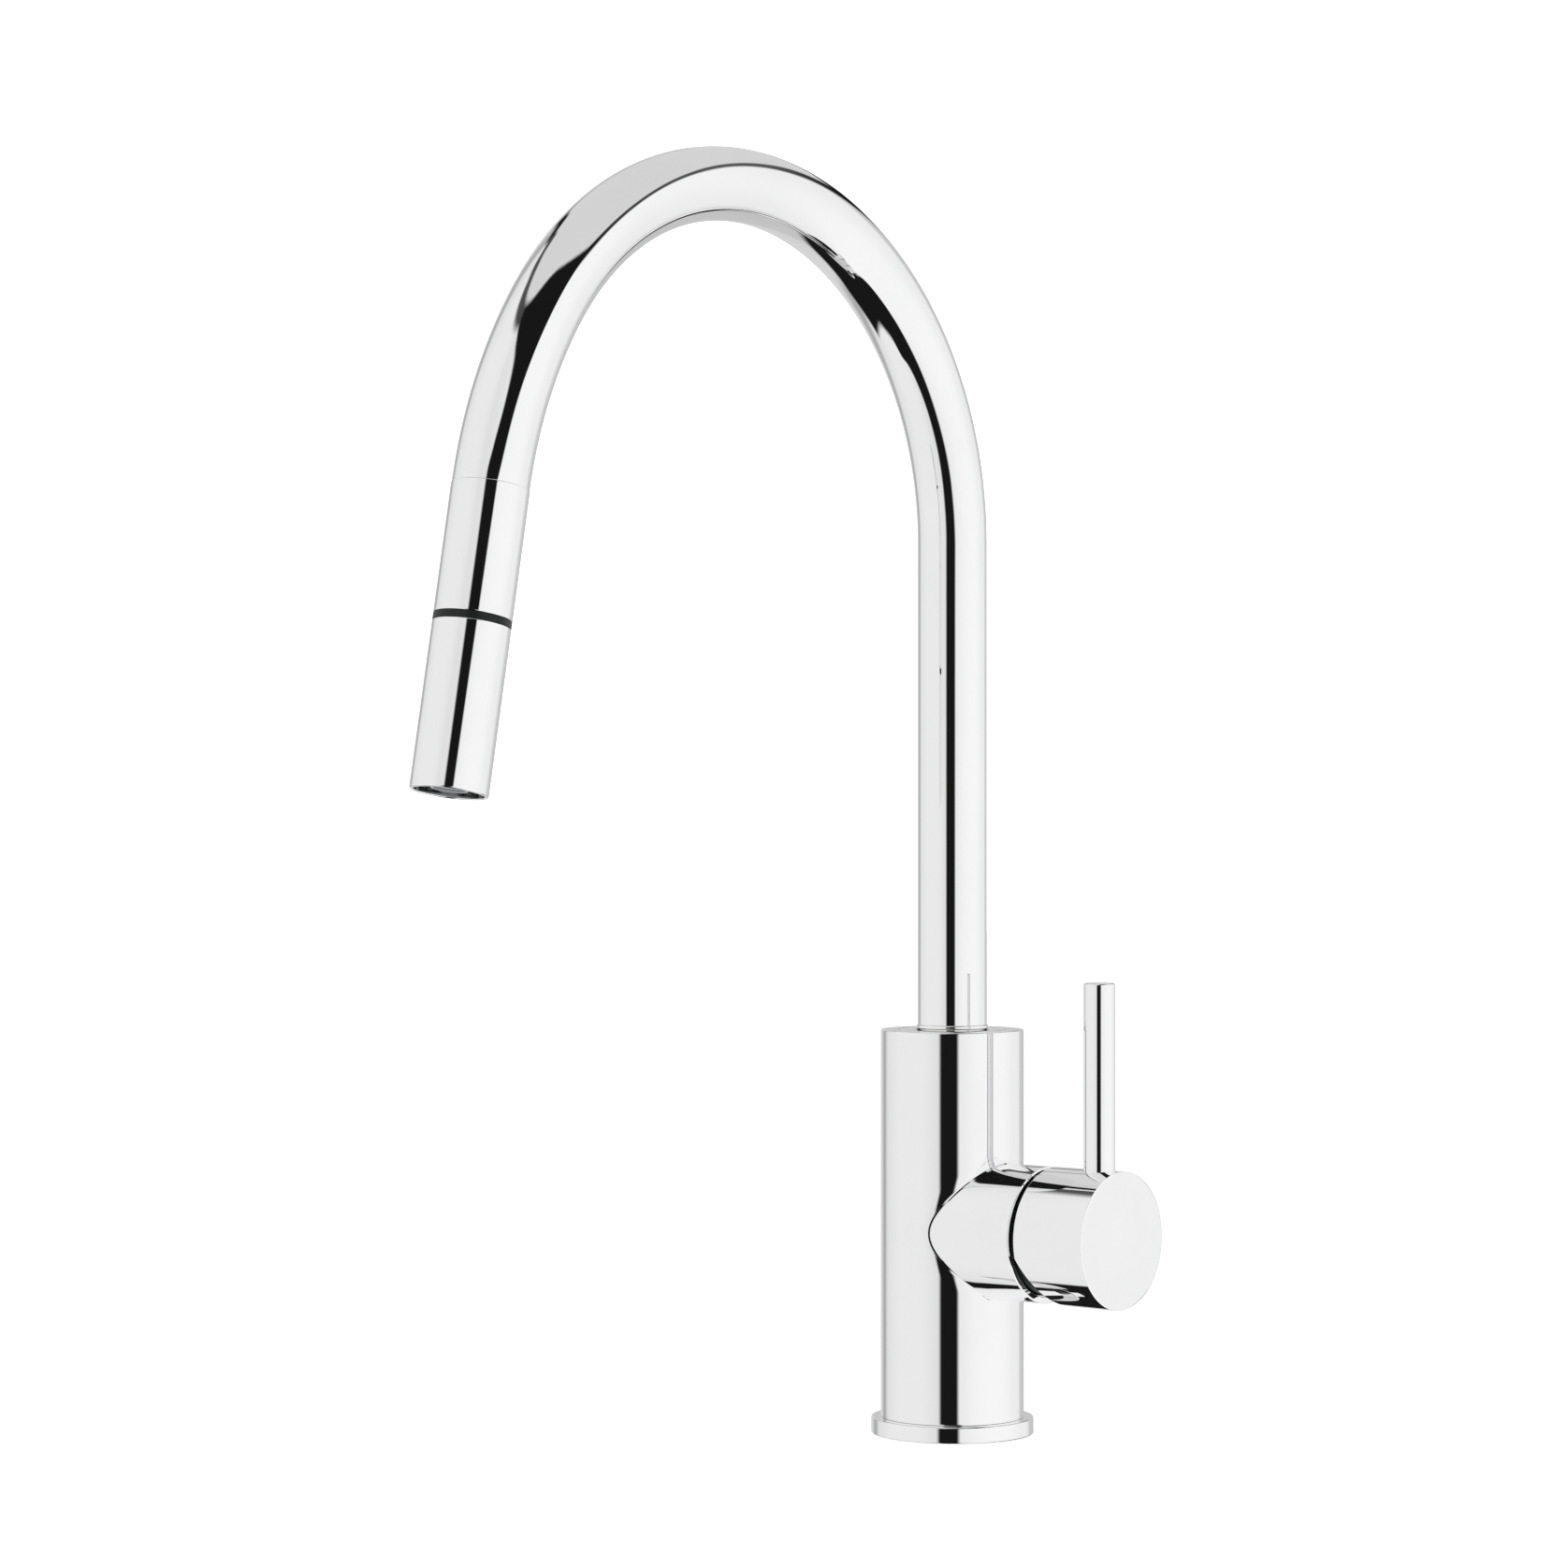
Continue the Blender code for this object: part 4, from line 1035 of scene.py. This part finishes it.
def make_backdrop():
    """A white wall all round, which closes the view above the floor."""
    shape = bmesh.new()
    bmesh.ops.create_cone(shape, cap_ends=False, segments=FINE, radius1=FLOOR_R,
                          radius2=FLOOR_R, depth=BACKDROP_HEIGHT,
                          matrix=Matrix.Translation((0, 0, BACKDROP_HEIGHT / 2)))
    mesh = bpy.data.meshes.new("backdrop")
    shape.to_mesh(mesh)
    shape.free()
    wall = stage_piece("backdrop", mesh, WHITE, 1.0)
    wall.visible_diffuse = False
    wall.visible_shadow = False
    wall.visible_transmission = False


def make_shade():
    """A dark disc that stands for the shaded deck, seen by glossy rays only. The barrel's
    underside mirrors it in the main view, and from behind the foot of the body does too."""
    shape = bmesh.new()
    bmesh.ops.create_circle(shape, cap_ends=True, radius=SHADE_R, segments=MEDIUM,
                            matrix=Matrix.Translation(SHADE_CENTRE))
    mesh = bpy.data.meshes.new("shade")
    shape.to_mesh(mesh)
    shape.free()
    shade = stage_piece("shade", mesh, NEAR_BLACK, 0.0)
    shade.visible_glossy = True
    shade.visible_camera = False
    shade.visible_diffuse = False
    shade.visible_shadow = False


# The studio round the object, in degrees: turns to the right from the camera's direction,
# and rises above the horizon. Each line is read between its points as a smooth curve. The
# points were listed after measuring which tones the photo's chrome mirrors from each
# direction, and then tuned against the photo.
CEILING_EDGE = ((-180, 33), (-158, 35), (-153, 39.5), (-149, 45), (-141, 50), (-136.5, 52),
                (-132, 56), (-126, 58), (-115, 59), (-98, 61), (-45, 60.6), (0, 62), (20, 60.5),
                (35, 56), (50, 49), (60, 43), (68, 38.5), (80, 37.2), (95, 39.5), (107, 41),
                (125, 39.5), (137, 37), (158, 27.6), (180, 18))  # turn, rise
LEFT_BOX_EDGE = ((-90, -60), (-63, -50), (-57, -30), (-47, -22), (-30, -20), (-15, -21.5),
                 (-8, -22.4), (4, -22.4), (12, -11), (23, -9), (27, -2), (34, 5.5),
                 (42, 0), (50, -17), (58, -38), (90, -60))  # rise, turn
RIGHT_BOX_EDGE = ((-90, 90), (-75, 70), (-65, 35), (-55, 20), (-45, 14), (-30, 9), (-13, 8),
                  (-8, 7), (3, 7.6), (8, 12), (14, 17), (19, 32), (26, 44), (30, 56),
                  (34, 69), (38, 80), (90, 120))  # rise, turn
FLOOR_EDGE = ((-180, -55), (-160, -53), (-151, -50.5), (-143, -46), (-124, -46), (-116, -53),
              (-100, -65), (-85, -69), (-50, -67), (-30, -61), (0, -56), (20, -59), (35, -66),
              (60, -73), (90, -78), (125, -76), (145, -61), (180, -55))  # turn, rise
RIGHT_SEAM = ((-90, 136), (-50, 138), (-30, 141), (-20, 144), (-12, 150), (0, 168),
              (90, 180))  # rise, turn
WALL_LIGHT = ((-180, 0.66), (-160, 0.7), (-144, 0.42), (-130, 0.76), (-115, 0.82), (-90, 0.86),
              (-60, 0.86), (-40, 0.83), (-26, 0.78), (12, 0.87), (40, 0.95), (80, 0.97),
              (110, 0.9), (130, 0.86), (140, 0.62), (155, 0.56), (180, 0.58))  # turn, light
SEAM_DEPTH = ((-180, 0.3), (-160, 0.6), (-148, 1.0), (-128, 0.9), (60, 1.0), (110, 0.9),
              (160, 1.0), (180, 0.6))  # turn, darkness
CEILING_LIGHT = 0.68
DARK_LIGHT = 0.009
EDGE_SOFTNESS = 3.2
CEILING_SOFTNESS = 1.5
SEAM_HALF_WIDTH = 2.2
RIGHT_SEAM_HALF_WIDTH = (1.0, 4.0)  # fully dark to here, and gone from here
RIGHT_SEAM_RISE = (-30.0, -10.0)  # it fades between these
RIGHT_SEAM_DARKNESS = 0.8


def make_studio_light():
    """A softbox wall on each side of the camera, a dimmer ceiling with a dark seam below it,
    and dark between the softboxes and underfoot."""
    world = bpy.data.worlds.new("studio")
    bpy.context.scene.world = world
    world.use_nodes = True
    graph = Graph(world.node_tree)
    direction = graph.add("ShaderNodeTexCoord").outputs["Generated"]
    facing = graph.add("ShaderNodeVectorRotate", Vector=direction, Angle=-CAMERA_TURN)
    parts = graph.add("ShaderNodeSeparateXYZ", Vector=facing.outputs["Vector"]).outputs
    degree = 180 / math.pi
    turn = graph.math("MULTIPLY", graph.math("ARCTAN2", parts["X"], graph.math(
        "MULTIPLY", parts["Y"], -1.0)), degree)
    rise = graph.math("MULTIPLY", graph.math("ARCSINE", parts["Z"]), degree)

    def line(value, points, widest, tallest):
        """The height of the smooth line through the points, from -tallest to tallest."""
        node = graph.add("ShaderNodeFloatCurve",
                         Value=graph.span(value, -float(widest), float(widest)))
        curve = node.mapping.curves[0]
        while len(curve.points) < len(points):
            curve.points.new(0.5, 0.5)
        for point, (x, y) in zip(curve.points, points):
            point.location = (0.5 + 0.5 * x / widest, 0.5 + 0.5 * y / tallest)
            point.handle_type = "AUTO_CLAMPED"
        node.mapping.update()
        return graph.span(node.outputs["Value"], 0.0, 1.0, -float(tallest), float(tallest))

    def past(value, limit, softness=EDGE_SOFTNESS):
        """0 to 1 as the value goes past the limit."""
        return graph.span(graph.math("SUBTRACT", value, limit), -softness, softness,
                          smooth=True)

    ceiling_edge = line(turn, CEILING_EDGE, 180, 90)
    above = past(rise, ceiling_edge, CEILING_SOFTNESS)
    gap = graph.math("MULTIPLY", past(turn, line(rise, LEFT_BOX_EDGE, 90, 180)),
                     past(line(rise, RIGHT_BOX_EDGE, 90, 180), turn))
    lit = graph.math("MULTIPLY", graph.math("SUBTRACT", 1.0, gap),
                     past(rise, line(turn, FLOOR_EDGE, 180, 90)))
    wall = graph.math("MULTIPLY", lit, line(turn, WALL_LIGHT, 180, 1))
    off_seam = graph.math("ABSOLUTE", graph.math("SUBTRACT", rise, graph.math(
        "SUBTRACT", ceiling_edge, SEAM_HALF_WIDTH)))
    depth = line(turn, SEAM_DEPTH, 180, 1)
    width = graph.math("MULTIPLY_ADD", depth, SEAM_HALF_WIDTH * 2, 0.2)
    in_seam = graph.math("MULTIPLY", depth, graph.span(
        graph.math("DIVIDE", off_seam, width), 0.5, 1.3, 1.0, 0.0, smooth=True))
    wall = graph.math("MULTIPLY", wall, graph.math("SUBTRACT", 1.0, in_seam))
    off_right_seam = graph.math("ABSOLUTE", graph.math(
        "SUBTRACT", turn, line(rise, RIGHT_SEAM, 90, 180)))
    in_right_seam = graph.math(
        "MULTIPLY", graph.span(rise, *RIGHT_SEAM_RISE, RIGHT_SEAM_DARKNESS, 0.0, smooth=True),
        graph.span(off_right_seam, *RIGHT_SEAM_HALF_WIDTH, 1.0, 0.0, smooth=True))
    wall = graph.math("MULTIPLY", wall, graph.math("SUBTRACT", 1.0, in_right_seam))
    light = graph.math("ADD", graph.math("MULTIPLY", above, CEILING_LIGHT), graph.math(
        "MULTIPLY", wall, graph.math("SUBTRACT", 1.0, above)))
    background = world.node_tree.nodes["Background"]
    graph.link(graph.math("ADD", light, DARK_LIGHT), background.inputs["Strength"])
    background.inputs["Color"].default_value = (1, 1, 1, 1)
    bpy.context.scene.view_settings.view_transform = "Standard"


make_body_shell()
make_base()
make_gland()
make_cover()
make_cap()
make_lever()
make_handle_screw()
make_spout_tube()
make_collar()
make_dock()
make_hose()
make_head()
make_nozzle()
make_aerator()
finish_carried_nodes()
make_camera()
make_floor()
make_backdrop()
make_shade()
make_studio_light()
